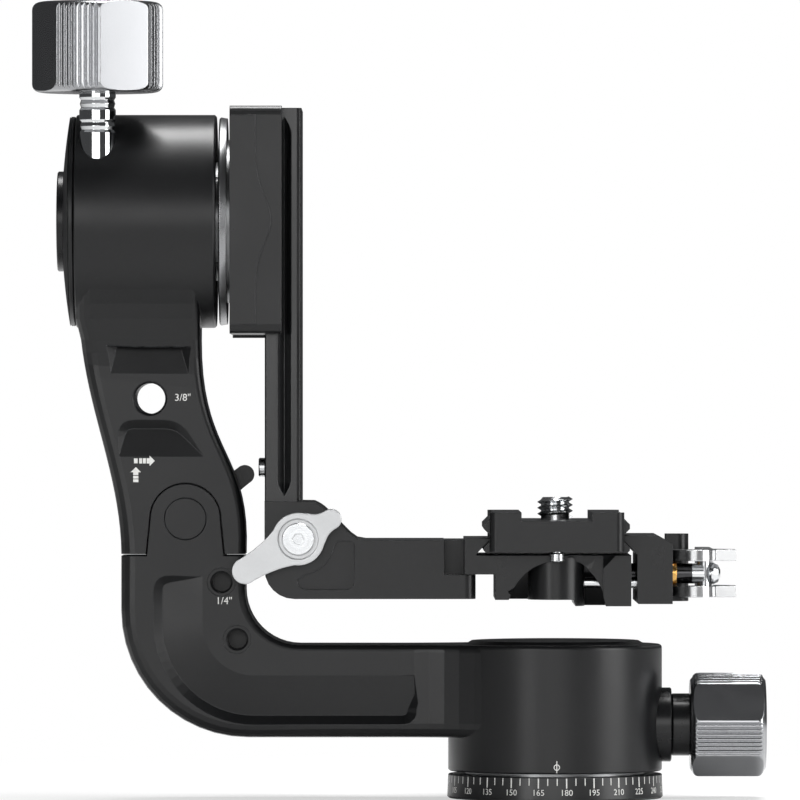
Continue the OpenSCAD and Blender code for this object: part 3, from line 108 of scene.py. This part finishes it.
table_z = -0.0002
bpy.ops.object.select_all(action="DESELECT")
bpy.ops.mesh.primitive_grid_add(x_subdivisions=8, y_subdivisions=8, size=3, location=(0, 0, table_z))
floor = bpy.context.object
floor.name = "table_top"
paper = bpy.data.materials.new("white_table")
paper.use_nodes = True
tree = paper.node_tree
matt = tree.nodes["Principled BSDF"]
matt.inputs["Base Color"].default_value = (0.86, 0.86, 0.86, 1)
matt.inputs["Roughness"].default_value = 0.75
matt.inputs["Specular IOR Level"].default_value = 0.2
# The paper keeps the head's shadow near the foot and fades to white further out
reach = tree.nodes.new("ShaderNodeVectorMath")
reach.operation = "LENGTH"
tree.links.new(tree.nodes.new("ShaderNodeTexCoord").outputs["Object"], reach.inputs[0])
away = tree.nodes.new("ShaderNodeMapRange")
away.interpolation_type = "SMOOTHSTEP"
away.inputs["From Min"].default_value = 0.05
away.inputs["From Max"].default_value = 0.30
away.inputs["To Min"].default_value = 0.55
away.inputs["To Max"].default_value = 1.0
tree.links.new(reach.outputs["Value"], away.inputs["Value"])
shown = studio_white(tree, matt, away.outputs[0], 0.0)
tree.links.new(shown.outputs[0], tree.nodes["Material Output"].inputs[0])
floor.data.materials.append(paper)

view_distance = 2.5
view_width = 0.216
view_x = -0.04185
view_z = 0.1073
lens = bpy.data.cameras.new("front_view")
lens.sensor_width = 36
lens.lens = lens.sensor_width * view_distance / view_width
lens.clip_end = 20
camera = bpy.data.objects.new("front_view", lens)
bpy.context.scene.collection.objects.link(camera)
camera.location = (view_x, -view_distance, view_z)
camera.rotation_euler = (math.radians(90), 0, 0)
bpy.context.scene.camera = camera
bpy.context.scene.view_settings.view_transform = "Standard"


# ---- Foot: scale ring, base plate and pan bearing ----
# The ring is turned aluminium, anodised black, with 72 lines cut and filled white and a
# number at every third line. Base, spindle and bearing sit inside it.
def group_tree(name, ins, outs):
    """A pattern's node group, with the outputs of its way in and the inputs of its way out."""
    tree = bpy.data.node_groups.new(name, "ShaderNodeTree")
    for label, kind, value in ins:
        socket = tree.interface.new_socket(label, in_out="INPUT", socket_type=kind)
        if value is not None:
            socket.default_value = value
    for label, kind in outs:
        tree.interface.new_socket(label, in_out="OUTPUT", socket_type=kind)
    give = tree.nodes.new("NodeGroupInput")
    take = tree.nodes.new("NodeGroupOutput")
    return tree, give.outputs, take.inputs


def step(tree, kind, operation=None, **values):
    """One node of a pattern; a value may be a number or the output that feeds it."""
    node = tree.nodes.new(kind)
    if operation:
        node.operation = operation
    for key, value in values.items():
        label = key.replace("_", " ") if not key.startswith("in") else int(key[2:])
        socket = node.inputs[label]
        if hasattr(value, "is_output"):
            tree.links.new(value, socket)
        else:
            socket.default_value = value
    return node


FLOAT, VECTOR = "NodeSocketFloat", "NodeSocketVector"

# Grain left by blasting: a height to bump with, and a fine shade
blasting, give, take = group_tree(
    "blasted_grain", [("Grain per metre", FLOAT, 9000.0)], [("Height", FLOAT), ("Shade", FLOAT)])
where = blasting.nodes.new("ShaderNodeTexCoord").outputs["Object"]
grain = step(blasting, "ShaderNodeTexNoise", Vector=where, Scale=give[0], Detail=2.0, Roughness=0.6)
coarse = step(blasting, "ShaderNodeMath", "MULTIPLY", in0=give[0], in1=0.14)
cloud = step(blasting, "ShaderNodeTexNoise", Vector=where, Scale=coarse.outputs[0], Detail=3.0)
blasting.links.new(grain.outputs[0], take[0])
blasting.links.new(cloud.outputs[0], take[1])

# Broken edges: a rounded normal, and a mask of where edges are painted lighter, partly rubbed wear and
# partly a painted edge highlight
edges, give, take = group_tree(
    "soft_edges", [("Radius", FLOAT, 0.0003), ("Rub", FLOAT, 1.0)],
    [("Normal", VECTOR), ("Wear_and_edge_highlight", FLOAT)])
rounded = edges.nodes.new("ShaderNodeBevel")
rounded.samples = 6
edges.links.new(give[0], rounded.inputs["Radius"])
true_normal = edges.nodes.new("ShaderNodeNewGeometry").outputs["True Normal"]
across = step(edges, "ShaderNodeVectorMath", "DOT_PRODUCT", in0=rounded.outputs[0], in1=true_normal)
turn = step(edges, "ShaderNodeMapRange", Value=across.outputs["Value"], From_Min=0.985,
            From_Max=0.80, To_Min=0.0, To_Max=1.0)
where = edges.nodes.new("ShaderNodeTexCoord").outputs["Object"]
patch = step(edges, "ShaderNodeTexNoise", Vector=where, Scale=260.0, Detail=4.0, Roughness=0.7)
broken = step(edges, "ShaderNodeMapRange", Value=patch.outputs[0], From_Min=0.40,
              From_Max=0.68, To_Min=0.15, To_Max=1.0)
# The edge mask broken into patches, scaled by Rub: partly wear, partly a painted edge highlight
wear_and_highlight = step(edges, "ShaderNodeMath", "MULTIPLY", in0=turn.outputs[0], in1=broken.outputs[0])
rubbed_and_lit = step(edges, "ShaderNodeMath", "MULTIPLY", in0=wear_and_highlight.outputs[0], in1=give[1])
edges.links.new(rounded.outputs[0], take[0])
edges.links.new(rubbed_and_lit.outputs[0], take[1])

# Handling: broad soft patches where the surface is a little shinier
handling, give, take = group_tree(
    "handling", [("Low", FLOAT, 0.3), ("High", FLOAT, 0.4), ("Patches per metre", FLOAT, 45.0)],
    [("Roughness", FLOAT)])
where = handling.nodes.new("ShaderNodeTexCoord").outputs["Object"]
smear = step(handling, "ShaderNodeTexNoise", Vector=where, Scale=give[2], Detail=5.0, Roughness=0.55,
             Distortion=0.4)
spread = step(handling, "ShaderNodeMapRange", Value=smear.outputs[0], From_Min=0.35, From_Max=0.65,
              To_Min=give[0], To_Max=give[1])
handling.links.new(spread.outputs[0], take[0])

# Lathe marks: fine rings about the local Z axis
turning, give, take = group_tree(
    "turning_marks", [("Vector", VECTOR, None), ("Marks per metre", FLOAT, 5000.0)],
    [("Height", FLOAT), ("Shade", FLOAT)])
axis_parts = step(turning, "ShaderNodeSeparateXYZ", Vector=give[0])
flat_part = step(turning, "ShaderNodeCombineXYZ", X=axis_parts.outputs[0], Y=axis_parts.outputs[1])
radius = step(turning, "ShaderNodeVectorMath", "LENGTH", in0=flat_part.outputs[0])
feed = step(turning, "ShaderNodeMath", "ADD", in0=radius.outputs["Value"], in1=axis_parts.outputs[2])
few = step(turning, "ShaderNodeMath", "MULTIPLY", in0=give[1], in1=0.12)
for scale, slot_out, detail in ((give[1], take[0], 4.0), (few.outputs[0], take[1], 2.0)):
    marks = turning.nodes.new("ShaderNodeTexNoise")
    marks.noise_dimensions = "1D"
    marks.inputs["Detail"].default_value = detail
    turning.links.new(feed.outputs[0], marks.inputs["W"])
    turning.links.new(scale, marks.inputs["Scale"])
    turning.links.new(marks.outputs[0], slot_out)


def use_group(tree, group, **values):
    """One use of a pattern; a value may be a number or the output that feeds it."""
    node = tree.nodes.new("ShaderNodeGroup")
    node.node_tree = group
    for key, value in values.items():
        socket = node.inputs[key.replace("_", " ")]
        if hasattr(value, "is_output"):
            tree.links.new(value, socket)
        else:
            socket.default_value = value
    return node


def mixed(tree, amount, low, high):
    """Colour between low and high; each is a colour or the output that gives one."""
    node = tree.nodes.new("ShaderNodeMix")
    node.data_type = "RGBA"
    tree.links.new(amount, node.inputs[0])
    for socket, value in ((node.inputs[6], low), (node.inputs[7], high)):
        if hasattr(value, "is_output"):
            tree.links.new(value, socket)
        else:
            socket.default_value = (*value, 1)
    return node.outputs[2]


def anodised(name, dye, worn_and_lit_edge, rough, shine=0.3, edge=0.0003, grain_per_m=9000.0, depth=0.2):
    """Dyed and sealed oxide: dye colour, lighter edge colour (rubbed wear and painted edge highlight),
    roughness range, shine, edge radius.
    """
    mat = bpy.data.materials.new(name)
    mat.use_nodes = True
    tree = mat.node_tree
    shader = tree.nodes["Principled BSDF"]
    shader.inputs["Specular IOR Level"].default_value = shine
    soft = use_group(tree, edges, Radius=edge, Rub=1.0)
    blast = use_group(tree, blasting, Grain_per_metre=grain_per_m)
    hand = use_group(tree, handling, Low=rough[0], High=rough[1])
    shade = mixed(tree, blast.outputs["Shade"], [c * 0.8 for c in dye], [c * 1.25 for c in dye])
    # Edges take the lighter colour: partly rubbed wear, partly a painted edge highlight
    colour = mixed(tree, soft.outputs["Wear_and_edge_highlight"], shade, worn_and_lit_edge)
    tree.links.new(colour, shader.inputs["Base Color"])
    tree.links.new(hand.outputs["Roughness"], shader.inputs["Roughness"])
    bump = step(tree, "ShaderNodeBump", Strength=depth, Distance=0.00002,
                Height=blast.outputs["Height"], Normal=soft.outputs["Normal"])
    tree.links.new(bump.outputs[0], shader.inputs["Normal"])
    return mat


def metal(name, colour, rough, node=None, axis=None, edge=0.0002, marks_per_m=9000.0, depth=0.12,
          grain_per_m=9000.0, tone=0.08, bright=1.15):
    """Bare metal. With an axis it is turned about that axis of the node, else it is blasted."""
    mat = bpy.data.materials.new(name)
    mat.use_nodes = True
    tree = mat.node_tree
    shader = tree.nodes["Principled BSDF"]
    shader.inputs["Metallic"].default_value = 1
    soft = use_group(tree, edges, Radius=edge, Rub=1.0)
    hand = use_group(tree, handling, Low=rough[0], High=rough[1], Patches_per_metre=90.0)
    if axis:
        low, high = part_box(node)
        where = tree.nodes.new("ShaderNodeTexCoord")
        place = tree.nodes.new("ShaderNodeMapping")
        place.vector_type = "TEXTURE"
        place.inputs["Location"].default_value = tuple((low + high) / 2)
        place.inputs["Rotation"].default_value = {
            "X": (0, math.radians(90), 0), "Y": (math.radians(-90), 0, 0), "Z": (0, 0, 0)}[axis]
        tree.links.new(where.outputs["Object"], place.inputs["Vector"])
        fine = use_group(tree, turning, Vector=place.outputs[0], Marks_per_metre=marks_per_m)
    else:
        fine = use_group(tree, blasting, Grain_per_metre=grain_per_m)
    shade = mixed(tree, fine.outputs["Shade"], [c * (1 - tone) for c in colour],
                  [min(1, c * (1 + tone)) for c in colour])
    # Edges are lightened by bright: partly rubbed wear, partly a painted edge highlight
    tint = mixed(tree, soft.outputs["Wear_and_edge_highlight"], shade, [min(1, c * bright) for c in colour])
    tree.links.new(tint, shader.inputs["Base Color"])
    tree.links.new(hand.outputs["Roughness"], shader.inputs["Roughness"])
    bump = step(tree, "ShaderNodeBump", Strength=depth, Distance=0.00001,
                Height=fine.outputs["Height"], Normal=soft.outputs["Normal"])
    tree.links.new(bump.outputs[0], shader.inputs["Normal"])
    return mat


def finish(mat, *names):
    """Give the frame's nodes this material alone."""
    for name in names:
        parts[name].data.materials.clear()
        parts[name].data.materials.append(mat)


def steel(name, axis, colour=(0.56, 0.57, 0.58), rough=(0.16, 0.22)):
    finish(metal("steel_" + name, colour, rough, name, axis), name)


def dark_steel(name, axis):
    steel(name, axis, (0.10, 0.10, 0.105), (0.28, 0.36))


def brass(name, axis):
    finish(metal("brass_" + name, (0.62, 0.36, 0.11), (0.22, 0.3), name, axis), name)


# The second colour of each anodised finish goes on its edges: rubbed wear and a painted edge highlight
ring_black = anodised("ring_black", (0.010, 0.0104, 0.011), (0.09, 0.092, 0.095), (0.28, 0.34),
                      shine=0.4, edge=0.0002, depth=0.1)
finish(ring_black, "scale_ring", "base_plate")
steel("tripod_socket", "Z")
dark_steel("base_screws", "Z")
finish(metal("turned_spindle", (0.30, 0.305, 0.31), (0.3, 0.38), "pan_spindle", "Z"), "pan_spindle")
steel("pan_race_lower", "Z")
steel("pan_race_upper", "Z")
brass("pan_cage", "Z")
dark_steel("spindle_nut", "Z")
for name in ("pan_balls", "tilt_balls"):
    finish(metal("ground_" + name, (0.62, 0.63, 0.64), (0.05, 0.09), depth=0.02, tone=0.03), name)

white_fill = anodised("white_fill", (0.66, 0.66, 0.64), (0.7, 0.7, 0.68), (0.5, 0.6), edge=0.00004,
                      grain_per_m=16000.0)
fill_depth = 0.02 * mm
digit_share = 0.70


def only(obj):
    bpy.ops.object.select_all(action="DESELECT")
    obj.select_set(True)
    bpy.context.view_layer.objects.active = obj


def slab(outline):
    """Flat piece in X-Y with the given outline, as thick as the white fill."""
    bpy.ops.object.select_all(action="DESELECT")
    bpy.ops.mesh.primitive_circle_add(vertices=len(outline), radius=1, fill_type="NGON")
    obj = bpy.context.object
    for vertex, point in zip(obj.data.vertices, outline):
        vertex.co = (point[0], point[1], -fill_depth)
    bpy.ops.object.mode_set(mode="EDIT")
    bpy.ops.mesh.select_all(action="SELECT")
    bpy.ops.mesh.extrude_region_move(TRANSFORM_OT_translate={"value": (0, 0, 2 * fill_depth)})
    bpy.ops.mesh.select_all(action="SELECT")
    bpy.ops.mesh.normals_make_consistent(inside=False)
    bpy.ops.object.mode_set(mode="OBJECT")
    return obj


def lettering(words, height):
    """Plain numerals of the given height in X-Y, as thick as the white fill.

    A digit is as high as digit_share of the typeface's size."""
    bpy.ops.object.select_all(action="DESELECT")
    bpy.ops.object.text_add()
    obj = bpy.context.object
    obj.data.body = words
    obj.data.align_x = "CENTER"
    obj.data.align_y = "CENTER"
    obj.data.size = height / digit_share
    obj.data.resolution_u = 3
    obj.data.extrude = fill_depth
    bpy.ops.object.convert(target="MESH")
    obj = bpy.context.object
    obj.data.transform(obj.matrix_world)
    obj.matrix_world = Matrix()
    return obj


def round_ring(obj, radius, angle):
    """Wrap a flat piece round the pan axis, its middle at the angle from the front."""
    for vertex in obj.data.vertices:
        x, up, out = vertex.co
        turn = angle + x / radius(up)
        vertex.co = ((radius(up) + out) * math.sin(turn), -(radius(up) + out) * math.cos(turn), up)


def joined(name, pieces, body, mat):
    """One piece made of the given ones, with its body and material."""
    only(pieces[0])
    for piece in pieces:
        piece.select_set(True)
    if len(pieces) > 1:
        bpy.ops.object.join()
    obj = bpy.context.object
    obj.name = name
    obj.data.materials.clear()
    obj.data.materials.append(mat)
    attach(obj, body)
    return obj


def copy_of(obj):
    """A copy with its own mesh."""
    twin = obj.copy()
    twin.data = obj.data.copy()
    bpy.context.scene.collection.objects.link(twin)
    return twin


def box_outline(x0, y0, x1, y1):
    """The four corners of a rectangle, for slab."""
    return [(x0, y0), (x1, y0), (x1, y1), (x0, y1)]


ring_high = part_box("scale_ring")[1]
ring_foot_r = ring_high.x
ring_foot_z = 0.5 * mm
# The ring narrows by 0.25 mm over the 5.8 mm of its height that carry the scale
ring_taper = 0.25 / 5.8
line_top = ring_high.z - 0.25 * mm
line_step = 5
short_length = 1.93 * mm
short_half_width = 0.125 * mm
number_step = 15
long_length = 2.67 * mm
long_half_width = 0.175 * mm
number_height = 1.6 * mm
number_z = 2.35 * mm
zero_angle = math.radians(5.2 - 180)


def ring_radius(up):
    return ring_foot_r - (up - ring_foot_z) * ring_taper


long_line = slab(box_outline(-long_half_width, line_top - long_length, long_half_width, line_top))
short_line = slab(box_outline(-short_half_width, line_top - short_length, short_half_width, line_top))
ring_lines = []
ring_numbers = []
for degrees in range(0, 360, line_step):
    at = zero_angle + math.radians(degrees)
    line = copy_of(short_line if degrees % number_step else long_line)
    round_ring(line, ring_radius, at)
    ring_lines.append(line)
    if degrees % number_step == 0:
        number = lettering(str(degrees), number_height)
        number.data.transform(Matrix.Translation((0, number_z, 0)))
        round_ring(number, ring_radius, at)
        ring_numbers.append(number)
for pattern in (long_line, short_line):
    bpy.data.objects.remove(pattern)
joined("scale_lines", ring_lines, "foot", white_fill)
joined("scale_numbers", ring_numbers, "foot", white_fill)


# ---- Pan housing and lower arm ----
# One casting: the round housing with its flat cover disc, the level run, the bend and the
# upright leg. Blasted and anodised satin black, with an index mark over the scale.
satin_black = anodised("satin_black", (0.0065, 0.0067, 0.0072), (0.05, 0.052, 0.055),
                       (0.30, 0.36), edge=0.0004)
finish(satin_black, "lower_arm", "pan_lid", "fold_pin_cap")
black_insert = anodised("black_insert", (0.006, 0.0062, 0.0066), (0.02, 0.02, 0.021), (0.34, 0.4),
                        edge=0.0001)
finish(black_insert, "arm_thread_inserts")
brass("pan_bush", "Z")

housing_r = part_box("lower_arm")[1].x
index_rim_r = 0.73 * mm
index_rim_wire = 0.12 * mm
index_rim_flat = 0.15
index_rim_z = 9.2 * mm
index_line_low = 7.7 * mm
index_line_high = 10.9 * mm
index_half_width = 0.125 * mm


def straight(up):
    return housing_r


bpy.ops.object.select_all(action="DESELECT")
bpy.ops.mesh.primitive_torus_add(major_radius=index_rim_r, minor_radius=index_rim_wire,
                                 major_segments=40, minor_segments=8)
index_rim = bpy.context.object
for vertex in index_rim.data.vertices:
    vertex.co.z *= index_rim_flat
index_rim.data.transform(Matrix.Translation((0, index_rim_z, 0)))
index_line = slab(box_outline(-index_half_width, index_line_low, index_half_width, index_line_high))
for piece in (index_rim, index_line):
    round_ring(piece, straight, 0)
joined("index_mark", [index_rim, index_line], "pan_arm", white_fill)


def on_face(obj, x, y, z):
    """Stand a flat piece up on a face that looks to the front, its middle at x, z."""
    obj.data.transform(Matrix.Translation((x, y, z)) @ Matrix.Rotation(math.radians(90), 4, "X"))
    return obj


arm_front = -13.5 * mm
thread_size_height = 1.9 * mm
quarter = on_face(lettering('1/4"', thread_size_height), -89.1 * mm, arm_front, 53.3 * mm)
joined("quarter_inch_mark", [quarter], "pan_arm", white_fill)


# ---- Pan lock ----
# A collar and hub, turned and anodised black, and a finger knob: extruded bar with four
# flats and fluted corners, its ends turned round, anodised in a glossy smoke grey.
turned_black = anodised("turned_black", (0.005, 0.0052, 0.0056), (0.04, 0.041, 0.043), (0.24, 0.3),
                        edge=0.0002, depth=0.08)
finish(turned_black, "pan_collar", "pan_knob_hub")
brass("pan_brake_shoe", "X")
steel("pan_knob_stud", "X")
for name in ("pan_knob", "tilt_knob", "rail_knob"):
    finish(metal("smoked_" + name, (0.33, 0.335, 0.345), (0.20, 0.23), edge=0.0003, depth=0.01,
                 tone=0.03), name)


# ---- Folding joint ----
# Steel pin with a flush black cap, a lock lever behind the arm, and the brass block that
# slides in the upper arm's slot when the arm is pulled up.
steel("fold_pin", "Y")
finish(turned_black, "fold_lever")
dark_steel("fold_lever_screw", "Y")
brass("fold_block", "Y")


# ---- Upper arm and tilt bearing ----
# The second casting, with the tilt housing across its top and two scooped recesses in its
# side. The fold arrows and the thread size are printed white.
finish(satin_black, "upper_arm", "tilt_end_cap")
finish(turned_black, "tilt_cap_disc")
three_eighths = on_face(lettering('3/8"', thread_size_height), -100.2 * mm, arm_front, 107.9 * mm)
joined("three_eighths_mark", [three_eighths], "tilt_arm", white_fill)

arrow_head = 1.4 * mm
arrow_half_width = 1.4 * mm
dash_half_width = 0.7 * mm
dash_share = 0.8
dash_overlap = 0.02 * mm


def arrow(length, dashes):
    """Arrow along +Y from its tail at the origin: head, then dashes behind it."""
    neck = length - arrow_head
    bits = [slab([(-arrow_half_width, neck), (arrow_half_width, neck), (0, length)])]
    pitch = neck / dashes
    for i in range(dashes):
        top = neck - i * pitch + (dash_overlap if i == 0 else 0)
        bits.append(slab(box_outline(-dash_half_width, top - pitch * dash_share, dash_half_width, top)))
    return bits


arrows = []
for piece in arrow(4.25 * mm, 3):
    piece.data.transform(Matrix.Translation((-112.8 * mm, 85.05 * mm, 0)))
    arrows.append(piece)
for piece in arrow(4.4 * mm, 3):
    piece.data.transform(Matrix.Translation((-112.1 * mm, 90.96 * mm, 0))
                         @ Matrix.Rotation(math.radians(-90), 4, "Z"))
    arrows.append(piece)
# The dash at the corner between the two arrows
arrows.append(slab(box_outline(-113.3 * mm, 90.3 * mm, -112.3 * mm, 91.6 * mm)))
for piece in arrows:
    on_face(piece, 0, arm_front, 0)
joined("fold_arrows", arrows, "tilt_arm", white_fill)

for name in ("tilt_inner_races", "tilt_outer_races"):
    steel(name, "X")
dark_steel("tilt_shaft_nut", "X")
finish(metal("turned_tilt_shaft", (0.30, 0.305, 0.31), (0.3, 0.36), "tilt_shaft", "X"), "tilt_shaft")
finish(metal("turned_flange_ring", (0.26, 0.262, 0.268), (0.26, 0.32), "tilt_flange_ring", "X"),
       "tilt_flange_ring")


# ---- Tilt lock ----
# Chromed shaft with two rounded grooves, running down into the housing between two brass
# plugs that are scalloped to grip the tilt shaft's drum.
finish(metal("chromed_shaft", (0.60, 0.61, 0.62), (0.05, 0.08), "tilt_knob_shaft", "Z", depth=0.03,
             tone=0.02), "tilt_knob_shaft")
brass("tilt_cotter_upper", "Z")
brass("tilt_cotter_lower", "Z")


# ---- Rail clamp and rail ----
# Machined bars, anodised: the clamp's body, its sliding jaw on two steel pins and the long
# rail with a V groove down each side, more glossy than the castings.
bar_black = anodised("bar_black", (0.0062, 0.0064, 0.0068), (0.06, 0.062, 0.065), (0.27, 0.33),
                     edge=0.00035, depth=0.14)
finish(bar_black, "rail_clamp_body", "rail_clamp_jaw")
rail_black = anodised("rail_black", (0.005, 0.0052, 0.0056), (0.05, 0.052, 0.055), (0.2, 0.26),
                      shine=0.45, edge=0.0004, depth=0.08)
finish(rail_black, "rail")
dark_steel("rail_clamp_screws", "X")
steel("rail_guide_pins", "Y")
steel("rail_knob_stud", "Y")
steel("rail_stop_pin", "X")


# ---- Cradle ----
# Short machined arm with a fork for the rail's end, a steel bolt, and a blasted silver
# lever in front whose cut edges are painted brighter: bare cut metal and a painted edge highlight.
finish(bar_black, "cradle_arm")
brass("cradle_bush", "Y")
steel("cradle_bolt", "Y")
dark_steel("cradle_nut", "Y")
# bright=1.5 paints the lever's edges much lighter: cut metal and a painted edge highlight
silver_lever = metal("silver_lever", (0.42, 0.425, 0.43), (0.36, 0.42), edge=0.0005, depth=0.22,
                     grain_per_m=14000.0, tone=0.05, bright=1.5)
finish(silver_lever, "cradle_lever")


# ---- Plate clamp ----
# Machined body and jaw, a black draw rod through a brass bush, and a bright cam lever that
# turns on the rod's cross barrel.
finish(bar_black, "plate_clamp_body", "clamp_jaw")
dark_steel("plate_clamp_screws", "X")
steel("guide_rods", "X")
brass("brass_bush", "X")
cam_bright = metal("cam_bright", (0.55, 0.555, 0.56), (0.18, 0.24), edge=0.0003, depth=0.05,
                   tone=0.03)
finish(cam_bright, "cam_lever")
rod_black = metal("rod_black", (0.05, 0.05, 0.052), (0.16, 0.22), "draw_rod", "X")
# The cross barrel at the rod's end is chromed
barrel_length = 7.6 * mm
tree = rod_black.node_tree
place = tree.nodes.new("ShaderNodeTexCoord").outputs["Object"]
along = step(tree, "ShaderNodeSeparateXYZ", Vector=place)
barrel_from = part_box("draw_rod")[1].x - barrel_length
on_barrel = step(tree, "ShaderNodeMath", "GREATER_THAN", in0=along.outputs[0], in1=barrel_from)
tint_in = tree.nodes["Principled BSDF"].inputs["Base Color"]
plated = mixed(tree, on_barrel.outputs[0], tint_in.links[0].from_socket, (0.60, 0.61, 0.62))
tree.links.new(plated, tint_in)
finish(rod_black, "draw_rod")


# ---- Plate and camera screw ----
# Extruded plate with a dovetail above and below, two steel stop pins, and the 3/8 inch
# camera screw with its rolled thread.
finish(bar_black, "qr_plate")
steel("plate_stop_pins", "Z")
screw_low, screw_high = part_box("camera_screw")
thread_r = 4.7625 * mm
thread_pitch = 25.4 * mm / 16
core_r = thread_r - 0.95 * mm
neck_top = screw_high.z - 6.0 * mm
head_r = 8.3 * mm
head_rim_r = 8.0 * mm
head_top = screw_low.z + 2.6 * mm
ridge_root_r = core_r - 0.15 * mm
ridge_edge_r = thread_r - 0.04 * mm
root_half = 0.72 * mm
crest_half = 0.09 * mm


def turned_piece(name, profile, sides=64):
    """Round piece about the pan axis from its half outline of (radius, height) points."""
    mesh = bpy.data.meshes.new(name)
    mesh.from_pydata([(r, 0, z) for r, z in profile], [(i, i + 1) for i in range(len(profile) - 1)], [])
    obj = bpy.data.objects.new(name, mesh)
    bpy.context.scene.collection.objects.link(obj)
    only(obj)
    bpy.ops.object.mode_set(mode="EDIT")
    bpy.ops.mesh.select_all(action="SELECT")
    bpy.ops.mesh.spin(steps=sides, angle=2 * math.pi, center=(0, 0, 0), axis=(0, 0, 1))
    bpy.ops.mesh.select_all(action="SELECT")
    bpy.ops.mesh.remove_doubles(threshold=0.000001)
    bpy.ops.mesh.normals_make_consistent(inside=False)
    bpy.ops.object.mode_set(mode="OBJECT")
    return obj


core = turned_piece("screw_core", [
    (0, screw_low.z), (head_rim_r, screw_low.z), (head_r, screw_low.z + 0.3 * mm),
    (head_r, screw_low.z + 2.3 * mm), (head_rim_r, head_top),
    (core_r, head_top), (core_r, screw_high.z - 0.6 * mm),
    (core_r - 0.5 * mm, screw_high.z), (0, screw_high.z)])
# The thread's ridge: its cross-section, wound up the core for three turns
ridge_mesh = bpy.data.meshes.new("screw_ridge")
ridge_mesh.from_pydata([(ridge_root_r, 0, -root_half), (ridge_edge_r, 0, -crest_half),
                        (thread_r, 0, 0), (ridge_edge_r, 0, crest_half),
                        (ridge_root_r, 0, root_half)],
                       [(0, 1), (1, 2), (2, 3), (3, 4), (4, 0)], [])
ridge = bpy.data.objects.new("screw_ridge", ridge_mesh)
bpy.context.scene.collection.objects.link(ridge)
only(ridge)
helix = ridge.modifiers.new("helix", "SCREW")
helix.steps = 64
helix.render_steps = 64
helix.angle = 2 * math.pi
helix.screw_offset = thread_pitch
helix.iterations = 3
bpy.ops.object.modifier_apply(modifier="helix")
ridge.data.transform(Matrix.Translation((0, 0, neck_top + root_half)))
bpy.ops.object.mode_set(mode="EDIT")
bpy.ops.mesh.select_all(action="SELECT")
bpy.ops.mesh.fill_holes(sides=0)
bpy.ops.mesh.select_all(action="SELECT")
bpy.ops.mesh.normals_make_consistent(inside=False)
bpy.ops.object.mode_set(mode="OBJECT")
screw_steel = metal("camera_screw_steel", (0.60, 0.61, 0.62), (0.12, 0.18), "camera_screw", "Z",
                    edge=0.00008, depth=0.05)
screw = joined("camera_screw_thread", [core, ridge], "screw", screw_steel)
only(screw)
bpy.ops.object.shade_smooth_by_angle(angle=math.radians(35))
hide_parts("camera_screw")
